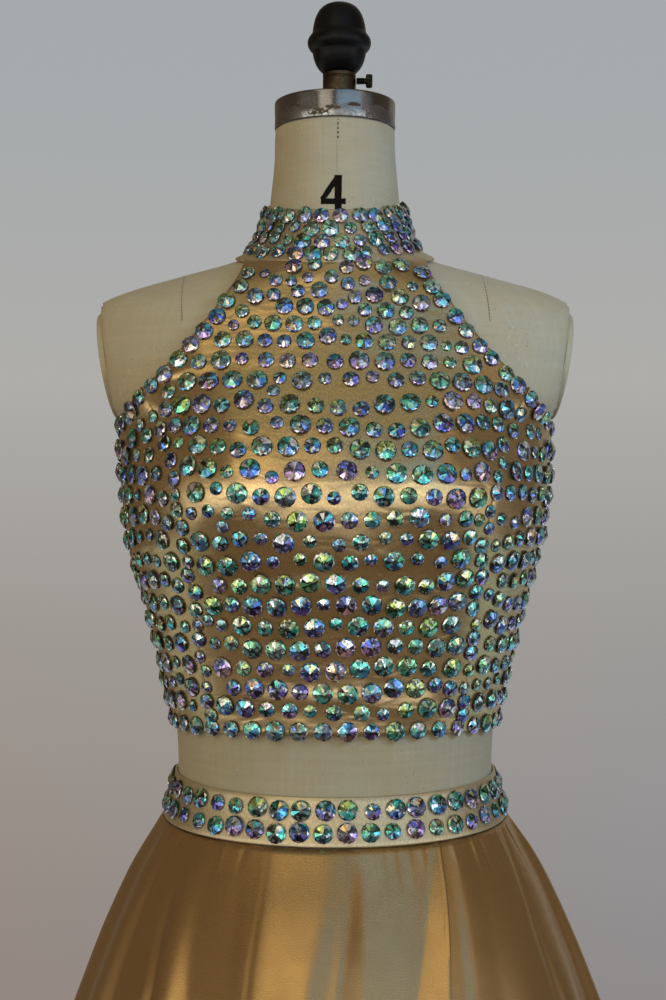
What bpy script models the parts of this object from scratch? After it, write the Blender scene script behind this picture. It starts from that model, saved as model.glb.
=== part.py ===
"""Two-piece ball gown on a limbless dress form.

A halter crop top and a floor-length skirt with a contoured waistband hang on a
linen-covered dress form, which turns on a pole over a round weighted base.
Metres, +Z up, the front of the gown faces -Y, and the origin lies on the floor
at the middle of the base's underside.
"""
import math

import bmesh
import bpy
import numpy as np
from mathutils import Matrix, Vector

MM = 0.001
SEAM_GAP = 0.30 * MM
HALF_GAP = SEAM_GAP / 2

# Walls of cloth
TOP_WALL = 1.6 * MM
COLLAR_WALL = 1.6 * MM
BAND_WALL = 1.5 * MM
SKIRT_WALL = 1.5 * MM

# How far each cloth's inner face stays off the form
TOP_CLEARANCE = 1.1 * MM
NECK_EASE = 1.2 * MM
COLLAR_CLEARANCE = 1.0 * MM
COLLAR_EASE = 2.4 * MM
BAND_CLEARANCE = 0.9 * MM
BAND_SPREAD = 2.0 * MM

# Heights of the garment's edges
HEM_SIDE = 1.0985
HEM_FRONT_LIFT = 0.0055
UNDERARM = 1.3020
BACK_TOP = 1.2720
SEAM_MEETS_ARMHOLE = 1.3270
COLLAR_BASE = 1.4225
COLLAR_BASE_TILT = 0.0140
COLLAR_TOP = 1.4570
COLLAR_TOP_TILT = 0.0110
BAND_TOP = 1.0654
BAND_BOTTOM = 1.0353
BAND_TILT = 0.0030
SKIRT_HEM = 0.0080

# The dress form, from the neck down: height in metres, then half width, front and back
# depth in mm, and roundness, where 2 is an ellipse and more is a squarer section
FORM_SECTIONS = (
    (1.5280, 39.8, 41.3, 41.3, 2.00),
    (1.5105, 39.8, 41.3, 41.3, 2.00),
    (1.5090, 41.4, 43.0, 43.0, 2.05),
    (1.4900, 42.2, 44.0, 44.0, 2.05),
    (1.4650, 44.4, 46.0, 46.0, 2.05),
    (1.4450, 46.6, 48.5, 49.0, 2.05),
    (1.4330, 49.8, 51.5, 53.5, 2.00),
    (1.4260, 55.0, 54.0, 58.0, 1.90),
    (1.4210, 62.5, 56.0, 62.0, 1.75),
    (1.4160, 77.5, 58.0, 67.0, 1.60),
    (1.4110, 97.0, 60.0, 71.0, 1.55),
    (1.4060, 116.0, 62.0, 75.0, 1.55),
    (1.4010, 134.0, 64.0, 78.0, 1.60),
    (1.3960, 149.0, 66.0, 81.0, 1.65),
    (1.3900, 162.0, 68.0, 84.0, 1.75),
    (1.3820, 171.0, 71.0, 87.0, 1.85),
    (1.3600, 175.0, 79.0, 93.0, 1.95),
    (1.3350, 169.0, 89.5, 98.0, 2.00),
    (1.3160, 158.0, 98.0, 100.0, 2.10),
    (1.3070, 147.3, 101.0, 100.3, 2.20),
    (1.3000, 146.8, 103.5, 100.5, 2.20),
    (1.2620, 145.4, 111.0, 99.0, 2.20),
    (1.2350, 142.0, 110.0, 96.5, 2.20),
    (1.2080, 135.6, 105.5, 93.5, 2.15),
    (1.1800, 128.6, 100.0, 90.0, 2.10),
    (1.1530, 121.3, 95.5, 86.5, 2.10),
    (1.1250, 115.4, 92.0, 84.0, 2.05),
    (1.0980, 110.7, 89.5, 82.5, 2.05),
    (1.0700, 109.4, 87.0, 83.0, 2.05),
    (1.0350, 115.6, 91.0, 89.5, 2.05),
    (1.0000, 128.0, 97.0, 100.0, 2.10),
    (0.9500, 146.0, 104.0, 116.0, 2.10),
    (0.9000, 159.0, 108.0, 124.0, 2.10),
    (0.8600, 163.0, 109.0, 122.0, 2.10),
    (0.8200, 160.0, 108.0, 116.0, 2.10),
)
FORM_RINGS = (
    1.5280, 1.5105, 1.5088, 1.4850, 1.4600, 1.4430, 1.4330, 1.4260, 1.4205, 1.4160, 1.4110,
    1.4050, 1.3990, 1.3930, 1.3850, 1.3700, 1.3400, 1.3160, 1.3070, 1.2860, 1.2620, 1.2350,
    1.2050, 1.1700, 1.1350, 1.1000, 1.0840, 1.0700, 1.0560, 1.0350, 1.0000, 0.9500, 0.8900,
    0.8200,
)
FORM_SIDES = 34

# The soft rise of the bust: places in metres from the middle of the front
BUST_SIDE = 0.068
BUST_HEIGHT = 1.262
BUST_RISE = 0.0145
BUST_WIDTH = 0.046
BUST_ABOVE = 0.052
BUST_BELOW = 0.040
# Cloth spans the hollow between the two rises, and stands off a little below them
BRIDGE_RISE = 0.0075
BRIDGE_WIDTH = 0.040
BRIDGE_SPAN = 0.060
STAND_OFF = 0.0035
STAND_OFF_HEIGHT = 1.195
STAND_OFF_SPAN = 0.045

# Flat ends where the arms would be, each closed by an oval plate
PLATE_TOP_X = 0.1607
PLATE_TOP_HEIGHT = 1.383
PLATE_LEAN = 0.159
PLATE_MIDDLE = 1.3465
PLATE_HALF_HEIGHT = 0.0375
PLATE_HALF_DEPTH = 0.0400
PLATE_THICKNESS = 0.0040
PLATE_BACK_SHIFT = 0.0060

# Lines on the top: height and distance from the middle, in metres
ARMHOLE_EDGE = (
    (1.3020, 0.1468),
    (1.3160, 0.1355),
    (1.3300, 0.1210),
    (1.3490, 0.1025),
    (1.3680, 0.0860),
    (1.3860, 0.0725),
    (1.4030, 0.0615),
    (1.4180, 0.0575),
)
PRINCESS_SEAM = (
    (1.0900, 0.0785),
    (1.1200, 0.0815),
    (1.1600, 0.0865),
    (1.2000, 0.0905),
    (1.2400, 0.0955),
    (1.2800, 0.1050),
    (1.3100, 0.1165),
    (1.3270, 0.1246),
)

# The skirt's sections: height in metres, then half width, front and back depth in mm
SKIRT_SECTIONS = (
    (1.0350, 120.3, 95.4, 94.1),
    (1.0200, 128.5, 103.0, 103.0),
    (0.9990, 140.0, 114.0, 116.0),
    (0.9720, 152.0, 127.0, 131.0),
    (0.9440, 163.0, 139.0, 145.0),
    (0.9030, 177.5, 155.0, 163.0),
    (0.8000, 213.0, 192.0, 201.0),
    (0.6000, 282.0, 262.0, 272.0),
    (0.4000, 350.0, 332.0, 342.0),
    (0.2000, 418.0, 402.0, 412.0),
    (0.0080, 482.0, 468.0, 478.0),
)
# Its folds: where each crest lies at the band and at the hem and how wide it is, in
# degrees round the waist, and how far it stands out at the hem and at the band, in mm
SKIRT_FOLDS = (
    (-170.0, -168.0, 10.0, 32.0, 1.2),
    (-149.0, -148.0, 11.0, 36.0, 1.0),
    (-128.0, -126.0, 10.0, 30.0, 1.4),
    (-107.0, -106.0, 10.5, 36.0, 1.5),
    (-85.0, -86.0, 11.0, 22.0, 1.2),
    (-66.0, -66.0, 10.0, 20.0, 1.4),
    (-50.0, -50.0, 6.5, 14.0, 1.6),
    (-37.0, -37.0, 9.5, 36.0, 1.0),
    (2.0, -14.0, 10.5, 36.0, 0.4),
    (7.0, -3.5, 6.0, 18.0, 0.6),
    (31.0, 29.0, 8.0, 22.0, 0.0),
    (50.0, 48.0, 9.0, 28.0, 1.2),
    (66.0, 66.0, 9.0, 34.0, 2.6),
    (84.0, 85.0, 10.0, 36.0, 2.8),
    (104.0, 105.0, 10.5, 34.0, 1.6),
    (126.0, 126.0, 11.0, 34.0, 1.4),
    (148.0, 148.0, 10.5, 36.0, 1.0),
    (169.0, 168.0, 9.5, 30.0, 1.2),
)
FOLD_SWING = 0.12
FOLD_GROWTH = 0.75
GATHER_START = 0.02
GATHER_LENGTH = 0.20
# One pressed pleat right of the middle: a long slope up to its edge, then a sharp drop
PLEAT_AT_BAND = 34.0
PLEAT_AT_HEM = 14.0
PLEAT_SWING = 0.14
PLEAT_SLOPE = 13.0
PLEAT_DROP = 1.25
PLEAT_RISE = 26.0
PLEAT_AT_TOP = 1.4
PLEAT_LAST_COLUMN = 0.12
# Rows of the skirt, from the band (0) to the hem (1)
SKIRT_ROWS = (
    0.0, 0.015, 0.035, 0.06, 0.095, 0.14, 0.185, 0.195, 0.28, 0.38, 0.50, 0.66, 0.83, 1.0,
)
ZIP_END_ROW = 6
SKIRT_LEFT_COLUMNS = 32
SKIRT_RIGHT_COLUMNS = 17
SKIRT_BACK_COLUMNS = 22

TOP_FRONT_COLUMNS = 20
TOP_LOWER_ROWS = 12
TOP_UPPER_ROWS = 7
TOP_SIDE_COLUMNS = 5
TOP_BACK_COLUMNS = 10
COLLAR_COLUMNS = 40
COLLAR_ROWS = 3
BAND_COLUMNS = 48
BAND_ROWS = 2

# Centre-back closings
ZIP_HALF_WIDTH = 1.2 * MM
ZIP_THICKNESS = 1.2 * MM
ZIP_SINK = 0.2 * MM
SLIDER_HALF_WIDTH = 2.6 * MM
SLIDER_LENGTH = 8.0 * MM
SLIDER_THICKNESS = 2.2 * MM
PULL_LENGTH = 24.0 * MM
PULL_HALF_WIDTH = 2.8 * MM
PULL_THICKNESS = 1.1 * MM
PULL_GAP = 0.35 * MM
BUTTON_RADIUS = 4.8 * MM
BUTTON_HEIGHT = 3.4 * MM
BUTTON_LIFT = 0.7 * MM
COLLAR_LAP = 0.3 * MM
UPPER_BUTTON_AT = 0.72
LOWER_BUTTON_AT = 0.28
# About how far the back edges lie from the axis, to turn a gap into an angle
SIDE_SEAM_RADIUS = 0.148
TOP_BACK_RADIUS = 0.098
COLLAR_RADIUS = 0.055
BAND_BACK_RADIUS = 0.088

# Neck ring and the fittings over it
RING_HALF_WIDTH = 42.0 * MM
RING_HALF_DEPTH = 43.6 * MM
RING_WALL = 1.6 * MM
RING_BOTTOM = 1.5105
RING_TOP = 1.5290
RING_LIP = 5.0 * MM
FITTING_X = 0.0030
CAP_THICKNESS = 3.0 * MM
SOCKET_RADIUS = 11.5 * MM
SOCKET_FLANGE_RADIUS = 16.5 * MM
SOCKET_TOP = 1.5498
SCREW_HEIGHT = 1.5446
SCREW_SHAFT_RADIUS = 2.4 * MM
SCREW_HEAD_RADIUS = 4.7 * MM
SCREW_HEAD_START = 0.0215
SCREW_HEAD_END = 0.0260
# The bulb knob's outline: distance from its axis and height, in metres
KNOB_PROFILE = (
    (0.0000, 1.5501),
    (0.0105, 1.5501),
    (0.0112, 1.5530),
    (0.0150, 1.5600),
    (0.0186, 1.5655),
    (0.0196, 1.5690),
    (0.0218, 1.5705),
    (0.0222, 1.5729),
    (0.0212, 1.5752),
    (0.0186, 1.5768),
    (0.0186, 1.5810),
    (0.0176, 1.5870),
    (0.0150, 1.5930),
    (0.0108, 1.5975),
    (0.0056, 1.5997),
    (0.0000, 1.6002),
)

# Stand
BASE_RADIUS = 0.220
BASE_EDGE = 0.012
BASE_CROWN = 0.024
BOSS_RADIUS = 0.034
BOSS_TOP = 0.060
POLE_RADIUS = 0.016
POLE_SEAT = 0.024
BOARD_THICKNESS = 0.012
BOARD_INSET = 0.006
SOCKET_LENGTH = 0.038
SOCKET_OUTER = 0.024
FLANGE_RADIUS = 0.048
FLANGE_THICKNESS = 0.005
RUNNING_GAP = 0.40 * MM
FORM_BOTTOM = 0.8200
STAND_SIDES = 32


class SmoothTable:
    """The rows of a table, joined by curves that never swing past a row."""

    def __init__(self, rows):
        ordered = sorted(rows)
        self.keys = np.array([row[0] for row in ordered])
        self.values = np.array([row[1:] for row in ordered])
        steps = np.diff(self.keys)[:, None]
        rises = np.diff(self.values, axis=0) / steps
        slopes = np.zeros_like(self.values)
        slopes[0] = rises[0]
        slopes[-1] = rises[-1]
        before, after = rises[:-1], rises[1:]
        same_way = before * after > 0
        total = np.where(same_way, before + after, 1.0)
        slopes[1:-1] = np.where(same_way, 2 * before * after / total, 0.0)
        self.slopes = slopes

    def at(self, key):
        """The table's values at one key, clamped to its ends."""
        key = min(max(key, self.keys[0]), self.keys[-1])
        row = int(np.searchsorted(self.keys, key, side="right")) - 1
        row = min(max(row, 0), len(self.keys) - 2)
        step = self.keys[row + 1] - self.keys[row]
        t = (key - self.keys[row]) / step
        h00 = 2 * t ** 3 - 3 * t ** 2 + 1
        h10 = t ** 3 - 2 * t ** 2 + t
        h01 = -2 * t ** 3 + 3 * t ** 2
        h11 = t ** 3 - t ** 2
        return (h00 * self.values[row] + h10 * step * self.slopes[row]
                + h01 * self.values[row + 1] + h11 * step * self.slopes[row + 1])


FORM_TABLE = SmoothTable(FORM_SECTIONS)
ARMHOLE_TABLE = SmoothTable(ARMHOLE_EDGE)
PRINCESS_TABLE = SmoothTable(PRINCESS_SEAM)
SKIRT_TABLE = SmoothTable(SKIRT_SECTIONS)


def signed_power(value, power):
    return math.copysign(abs(value) ** power, value)


def bell(distance, width):
    """1 at the middle, falling softly to 0 over about two widths."""
    return math.exp(-(distance / width) ** 2)


def plate_plane(height):
    """How far out the form reaches where its arm ends are cut flat."""
    return PLATE_TOP_X + (height - PLATE_TOP_HEIGHT) * PLATE_LEAN


def plate_limit(height):
    """The flat arm ends stop the form's width above the underarm only."""
    return plate_plane(height) if height > UNDERARM else 1.0


def form_point(angle, height):
    """A point on the form: angle 0 is the middle of the front, 90 degrees is +X."""
    half_width, front, back, roundness = FORM_TABLE.at(height)
    across = signed_power(math.sin(angle), 2 / roundness)
    along = signed_power(math.cos(angle), 2 / roundness)
    x = half_width * MM * across
    depth = front if along > 0 else back
    y = -depth * MM * along
    limit = plate_limit(height)
    x = max(-limit, min(limit, x))
    if along > 0:
        reach = BUST_ABOVE if height > BUST_HEIGHT else BUST_BELOW
        rise = BUST_RISE * bell(height - BUST_HEIGHT, reach)
        for side in (-BUST_SIDE, BUST_SIDE):
            y -= rise * bell(x - side, BUST_WIDTH) * min(1.0, along * 2)
    return Vector((x, y, height))


def cloth_base(angle, height):
    """The surface that the top's cloth follows: the form, bridged at the bust."""
    point = form_point(angle, height)
    along = math.cos(angle)
    if along > 0:
        bridge = BRIDGE_RISE * bell(point.x, BRIDGE_WIDTH) * bell(height - BUST_HEIGHT, BRIDGE_SPAN)
        hang = STAND_OFF * bell(height - STAND_OFF_HEIGHT, STAND_OFF_SPAN)
        point.y -= (bridge + hang) * min(1.0, along * 1.5)
    return point


def outward(surface, first, second):
    """The unit normal of a surface of two parameters, pointing away from the axis."""
    step = 0.002
    along = surface(first + step, second) - surface(first - step, second)
    up = surface(first, second + step) - surface(first, second - step)
    normal = along.cross(up)
    if normal.length < 1e-12:
        return Vector((0, 0, 1))
    normal.normalize()
    point = surface(first, second)
    if normal.x * point.x + normal.y * point.y < 0:
        normal.negate()
    return normal


def moved_out(surface, first, second, distance):
    return surface(first, second) + outward(surface, first, second) * distance


def angle_at(from_middle, height):
    """The angle round the form of a point that far from the middle, on the front."""
    half_width, _, _, roundness = FORM_TABLE.at(height)
    share = min(1.0, abs(from_middle) / (half_width * MM))
    return math.asin(share ** (roundness / 2))


def armhole_angle(height):
    if height <= UNDERARM:
        return math.pi / 2
    return angle_at(float(ARMHOLE_TABLE.at(height)[0]), height)


def princess_angle(height):
    return angle_at(float(PRINCESS_TABLE.at(height)[0]), height)


def hem_height(angle):
    """The crop top's lower edge rides up a little at the middle of the front."""
    return HEM_SIDE + HEM_FRONT_LIFT * ((1 + math.cos(angle)) / 2) ** 2


def collar_base_height(angle):
    return COLLAR_BASE - COLLAR_BASE_TILT * math.cos(angle)


def collar_top_height(angle):
    return COLLAR_TOP - COLLAR_TOP_TILT * math.cos(angle)


def band_height(angle, share):
    """A height on the waistband, from its lower edge (0) to its upper edge (1)."""
    return BAND_BOTTOM + share * (BAND_TOP - BAND_BOTTOM) - BAND_TILT * math.cos(angle)


def blend(first, second, share):
    return first + (second - first) * share


def make_material(name, colour, roughness, metallic=0.0):
    material = bpy.data.materials.new(name)
    material.use_nodes = True
    shader = material.node_tree.nodes["Principled BSDF"]
    shader.inputs["Base Color"].default_value = (*colour, 1.0)
    shader.inputs["Roughness"].default_value = roughness
    shader.inputs["Metallic"].default_value = metallic
    material.diffuse_color = (*colour, 1.0)
    return material


def finish(bm, name, material, sharp_angle=50.0, origin=(0, 0, 0)):
    """Turn a bmesh into an object whose origin lies at the given world point."""
    bmesh.ops.recalc_face_normals(bm, faces=bm.faces[:])
    bmesh.ops.transform(bm, matrix=Matrix.Translation(-Vector(origin)), verts=bm.verts[:])
    mesh = bpy.data.meshes.new(name)
    bm.to_mesh(mesh)
    bm.free()
    mesh.materials.append(material)
    mesh.shade_smooth()
    mesh.set_sharp_from_angle(angle=math.radians(sharp_angle))
    thing = bpy.data.objects.new(name, mesh)
    bpy.context.collection.objects.link(thing)
    thing.location = origin
    return thing


def cloth_wall(name, columns, rows, outer_point, inner_point, material):
    """A closed wall of cloth over a grid: both points take shares across and up."""
    bm = bmesh.new()
    bmesh.ops.create_grid(bm, x_segments=columns, y_segments=rows, size=1.0)
    bmesh.ops.triangulate(bm, faces=bm.faces[:], quad_method="FIXED")
    copy = bmesh.ops.extrude_face_region(bm, geom=bm.faces[:], use_keep_orig=True)
    copied = {item for item in copy["geom"] if isinstance(item, bmesh.types.BMVert)}
    for vert in bm.verts:
        column = round((vert.co.x + 1) / 2 * columns)
        row = round((vert.co.y + 1) / 2 * rows)
        place = inner_point if vert in copied else outer_point
        vert.co = place(column, row)
    return finish(bm, name, material)


def turned(profile, sides, centre=(0, 0, 0)):
    """A solid of revolution about a vertical axis, from (radius, height) pairs."""
    bm = bmesh.new()
    verts = [bm.verts.new((radius, 0, height)) for radius, height in profile]
    edges = [bm.edges.new(pair) for pair in zip(verts, verts[1:])]
    bmesh.ops.spin(bm, geom=verts + edges, cent=(0, 0, 0), axis=(0, 0, 1),
                   angle=2 * math.pi, steps=sides, use_merge=True)
    bmesh.ops.remove_doubles(bm, verts=bm.verts[:], dist=1e-6)
    bmesh.ops.translate(bm, verts=bm.verts[:], vec=centre)
    return bm


def closed_loft(rings):
    """A closed solid through rings of points, bottom first, capped at both ends."""
    bm = bmesh.new()
    loops = []
    for ring in rings:
        verts = [bm.verts.new(point) for point in ring]
        loops.append([bm.edges.new((a, b)) for a, b in zip(verts, verts[1:] + verts[:1])])
    for lower, upper in zip(loops, loops[1:]):
        bmesh.ops.bridge_loops(bm, edges=lower + upper)
    for loop in (loops[0], loops[-1]):
        bmesh.ops.contextual_create(bm, geom=loop)
    bmesh.ops.triangulate(bm, faces=[face for face in bm.faces if len(face.verts) > 4])
    return bm


def dress_form(linen):
    rings = []
    for height in reversed(FORM_RINGS):
        ring = []
        for side in range(FORM_SIDES):
            ring.append(form_point(2 * math.pi * side / FORM_SIDES, height))
        rings.append(ring)
    return finish(closed_loft(rings), "form_torso", linen)


def arm_plate(name, side, linen):
    """An oval plate on the flat end of one shoulder."""
    bm = bmesh.new()
    lean = math.atan(PLATE_LEAN)
    bmesh.ops.create_cone(bm, cap_ends=True, segments=24, radius1=1.0, radius2=1.0,
                          depth=PLATE_THICKNESS)
    rim = [edge for edge in bm.edges if edge.calc_length() < 1.0
           and (edge.verts[0].co.z > 0) and (edge.verts[1].co.z > 0)]
    bmesh.ops.scale(bm, vec=(PLATE_HALF_HEIGHT, PLATE_HALF_DEPTH, 1), verts=bm.verts[:])
    bmesh.ops.bevel(bm, geom=rim, offset=1.4 * MM, segments=2, affect="EDGES", profile=0.5)
    bmesh.ops.rotate(bm, cent=(0, 0, 0), matrix=Matrix.Rotation(math.pi / 2 + lean, 3, "Y"),
                     verts=bm.verts[:])
    middle_x = plate_plane(PLATE_MIDDLE) + (SEAM_GAP + PLATE_THICKNESS / 2) / math.cos(lean)
    bmesh.ops.translate(bm, vec=(middle_x, PLATE_BACK_SHIFT, PLATE_MIDDLE), verts=bm.verts[:])
    if side < 0:
        bmesh.ops.scale(bm, vec=(-1, 1, 1), verts=bm.verts[:])
    return finish(bm, name, linen, sharp_angle=35)


def top_front(satin):
    """The middle front, from the hem to the collar, between the princess seams and
    above them between the armhole edges."""
    rows = TOP_LOWER_ROWS + TOP_UPPER_ROWS

    def place(column, row):
        across = 2 * column / TOP_FRONT_COLUMNS - 1
        height = blend(HEM_SIDE, SEAM_MEETS_ARMHOLE, min(1.0, row / TOP_LOWER_ROWS))
        for _ in range(6):
            if row <= TOP_LOWER_ROWS:
                edge = princess_angle(height)
                angle = across * edge
                height = blend(hem_height(angle), SEAM_MEETS_ARMHOLE, row / TOP_LOWER_ROWS)
            else:
                edge = armhole_angle(height)
                angle = across * edge
                share = (row - TOP_LOWER_ROWS) / TOP_UPPER_ROWS
                top = collar_base_height(angle) - 2 * SEAM_GAP
                height = blend(SEAM_MEETS_ARMHOLE, top, share)
        radius = cloth_base(edge, height).xy.length
        angle = across * (edge - HALF_GAP / radius)
        return angle, height

    def point(column, row, out):
        angle, height = place(column, row)
        ease = NECK_EASE * max(0.0, row - TOP_LOWER_ROWS) / TOP_UPPER_ROWS
        return moved_out(cloth_base, angle, height, out + ease)

    return cloth_wall("top_front", TOP_FRONT_COLUMNS, rows,
                      lambda c, r: point(c, r, TOP_CLEARANCE + TOP_WALL),
                      lambda c, r: point(c, r, TOP_CLEARANCE), satin)


def armhole_height(share):
    """Where the armhole edge crosses a line at this share from princess to side seam."""
    low, high = UNDERARM, SEAM_MEETS_ARMHOLE
    for _ in range(40):
        middle = (low + high) / 2
        seam = princess_angle(middle)
        line = seam + (math.pi / 2 - seam) * share
        if armhole_angle(middle) > line:
            low = middle
        else:
            high = middle
    return (low + high) / 2


def top_side(name, side, satin):
    """A side front, between the princess seam and the side seam under one armhole."""
    tops = [armhole_height(c / TOP_SIDE_COLUMNS) for c in range(TOP_SIDE_COLUMNS + 1)]
    tops[0] = SEAM_MEETS_ARMHOLE
    tops[-1] = UNDERARM

    def point(column, row, out):
        share = column / TOP_SIDE_COLUMNS
        angle = math.pi / 2 * share
        for _ in range(6):
            height = blend(hem_height(angle), tops[column], row / TOP_LOWER_ROWS)
            seam = princess_angle(height)
            radius = cloth_base(seam, height).xy.length
            trim = HALF_GAP / radius
            angle = blend(seam + trim, math.pi / 2 - trim, share)
        return moved_out(cloth_base, angle * side, height, out)

    return cloth_wall(name, TOP_SIDE_COLUMNS, TOP_LOWER_ROWS,
                      lambda c, r: point(c, r, TOP_CLEARANCE + TOP_WALL),
                      lambda c, r: point(c, r, TOP_CLEARANCE), satin)


def top_back(name, side, satin):
    """A back, from the side seam to the zip at the centre back."""

    def point(column, row, out):
        share = column / TOP_BACK_COLUMNS
        first = math.pi / 2 + HALF_GAP / SIDE_SEAM_RADIUS
        last = math.pi - (ZIP_HALF_WIDTH + SEAM_GAP) / TOP_BACK_RADIUS
        angle = blend(first, last, share)
        fall = math.sin(math.pi / 2 * share)
        top = blend(UNDERARM, BACK_TOP, fall)
        height = blend(hem_height(angle), top, row / TOP_LOWER_ROWS)
        return moved_out(cloth_base, angle * side, height, out)

    return cloth_wall(name, TOP_BACK_COLUMNS, TOP_LOWER_ROWS,
                      lambda c, r: point(c, r, TOP_CLEARANCE + TOP_WALL),
                      lambda c, r: point(c, r, TOP_CLEARANCE), satin)


def collar_point(angle, share, out):
    """A point on the collar's inner face moved out, from its base (0) to its top (1)."""
    height = blend(collar_base_height(angle), collar_top_height(angle), share)
    ease = COLLAR_EASE * math.sin(math.pi * share) * (1 - 0.5 * share)
    return moved_out(form_point, angle, height, COLLAR_CLEARANCE + out + ease)


def collar(satin):
    """The stand collar, closed round the neck with its ends meeting at the back."""
    end = math.pi - COLLAR_LAP / COLLAR_RADIUS

    def point(column, row, out):
        angle = blend(-end, end, column / COLLAR_COLUMNS)
        return collar_point(angle, row / COLLAR_ROWS, out)

    return cloth_wall("collar", COLLAR_COLUMNS, COLLAR_ROWS,
                      lambda c, r: point(c, r, COLLAR_WALL),
                      lambda c, r: point(c, r, 0.0), satin)


def waistband(satin):
    """The contoured band: snug at its upper edge and a little away at its lower one."""
    end = math.pi - (ZIP_HALF_WIDTH + SEAM_GAP) / BAND_BACK_RADIUS

    def point(column, row, out):
        angle = blend(-end, end, column / BAND_COLUMNS)
        share = row / BAND_ROWS
        height = band_height(angle, share)
        return moved_out(form_point, angle, height, out + BAND_SPREAD * (1 - share))

    return cloth_wall("waistband", BAND_COLUMNS, BAND_ROWS,
                      lambda c, r: point(c, r, BAND_CLEARANCE + BAND_WALL),
                      lambda c, r: point(c, r, BAND_CLEARANCE), satin)


def swung(at_band, at_hem, down, swing=FOLD_SWING):
    """A fold's angle in degrees at a share of the way down the skirt."""
    return at_hem + (at_band - at_hem) * math.exp(-down / swing)


def turn_between(angle, crest):
    """The shortest turn from a crest to an angle, in degrees."""
    return (angle - crest + 180.0) % 360.0 - 180.0


def fold_rise(angle, down):
    """How far the folds stand out, in metres, at an angle in degrees."""
    growth = down ** FOLD_GROWTH
    gathered = min(1.0, down / GATHER_START) * math.exp(-down / GATHER_LENGTH)
    rise = 0.0
    for at_band, at_hem, half_width, hem_rise, gather in SKIRT_FOLDS:
        away = turn_between(angle, swung(at_band, at_hem, down)) / half_width
        if abs(away) < 1:
            crest = math.cos(math.pi / 2 * away) ** 2
            rise += crest * (hem_rise * growth + gather * gathered)
    return rise * MM


def pleat_angle(down):
    return swung(PLEAT_AT_BAND, PLEAT_AT_HEM, down, PLEAT_SWING)


def pleat_rise(angle, down):
    """The pleat: a soft climb towards its edge and a sharp fall past it."""
    away = turn_between(angle, pleat_angle(down))
    height = PLEAT_AT_TOP + PLEAT_RISE * down ** FOLD_GROWTH
    if -PLEAT_SLOPE < away <= 0:
        share = 1 + away / PLEAT_SLOPE
        return height * share ** 2 * MM
    if 0 < away < PLEAT_DROP:
        return height * (1 - away / PLEAT_DROP) * MM
    return 0.0


def skirt_point(angle, down):
    """A point on the skirt's outer face: angle in degrees, down from the band."""
    turn = math.radians(angle)
    level = blend(SKIRT_SECTIONS[0][0], SKIRT_HEM, down)
    half_width, front, back = SKIRT_TABLE.at(level)
    x = half_width * MM * math.sin(turn)
    depth = front if math.cos(turn) > 0 else back
    y = -depth * MM * math.cos(turn)
    out = Vector((math.sin(turn) * depth, -math.cos(turn) * half_width, 0)).normalized()
    point = Vector((x, y, 0)) + out * (fold_rise(angle, down) + pleat_rise(angle, down))
    tilt = BAND_TILT * math.cos(turn) * (1 - down) ** 4
    point.z = level - SEAM_GAP - tilt
    return point


def skirt_wall(name, angles, satin):
    """A skirt panel between two seams: angles gives a column's angle at each row."""
    columns = len(angles(0.0)) - 1
    rows = len(SKIRT_ROWS) - 1
    grid = []
    for down in SKIRT_ROWS:
        grid.append([skirt_point(angle, down) for angle in angles(down)])

    def normal(column, row):
        left = grid[row][max(column - 1, 0)]
        right = grid[row][min(column + 1, columns)]
        above = grid[max(row - 1, 0)][column]
        below = grid[min(row + 1, rows)][column]
        out = (right - left).cross(above - below).normalized()
        return out

    def place(column, row, depth):
        row = rows - row
        inset = normal(column, row) * depth
        if row == 0:
            inset.z = 0
        return grid[row][column] - inset

    return cloth_wall(name, columns, rows,
                      lambda c, r: place(c, r, 0.0),
                      lambda c, r: place(c, r, SKIRT_WALL), satin)


def seam_trim(down, gap):
    """Half a seam's gap, in degrees, at this share of the way down."""
    level = blend(SKIRT_SECTIONS[0][0], SKIRT_HEM, down)
    half_width = float(SKIRT_TABLE.at(level)[0]) * MM
    return math.degrees(gap / half_width)


def spread(first, last, count):
    return [blend(first, last, step / count) for step in range(count + 1)]


def skirt_front_angles(down):
    """Columns of the front panel, kept close on both sides of the pleat's edge."""
    edge = pleat_angle(down)
    trim = seam_trim(down, HALF_GAP)
    left = spread(-90 + trim, edge - PLEAT_SLOPE * PLEAT_LAST_COLUMN, SKIRT_LEFT_COLUMNS)
    drop = [edge, edge + PLEAT_DROP * 0.5, edge + PLEAT_DROP]
    right = spread(edge + PLEAT_DROP * 2, 90 - trim, SKIRT_RIGHT_COLUMNS)
    return left + drop + right


def skirt_right_back_angles(down):
    """Columns of a back panel, parted by the zip and closed to a seam below it."""
    trim = seam_trim(down, HALF_GAP)
    half_gap = HALF_GAP if down > SKIRT_ROWS[ZIP_END_ROW] else ZIP_HALF_WIDTH + SEAM_GAP
    return spread(90 + trim, 180 - seam_trim(down, half_gap), SKIRT_BACK_COLUMNS)


def skirt_left_back_angles(down):
    return [-angle for angle in reversed(skirt_right_back_angles(down))]


def strip_along(points, normals, half_width, thickness, sink):
    """A narrow closed strip in the plane x = 0, following points down the back."""
    rings = []
    for point, normal in zip(points, normals):
        outer = point - normal * sink
        inner = outer - normal * thickness
        rings.append([outer + Vector((-half_width, 0, 0)), outer + Vector((half_width, 0, 0)),
                      inner + Vector((half_width, 0, 0)), inner + Vector((-half_width, 0, 0))])
    return closed_loft(rings)


def top_zip(tape):
    """The closed zip in the top's centre-back seam."""
    heights = spread(hem_height(math.pi), BACK_TOP - SLIDER_LENGTH * 0.2, 9)
    points = [moved_out(cloth_base, math.pi, h, TOP_CLEARANCE + TOP_WALL) for h in heights]
    normals = [outward(cloth_base, math.pi, h) for h in heights]
    bm = strip_along(points, normals, ZIP_HALF_WIDTH, ZIP_THICKNESS, ZIP_SINK)
    return finish(bm, "top_zip", tape)


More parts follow.
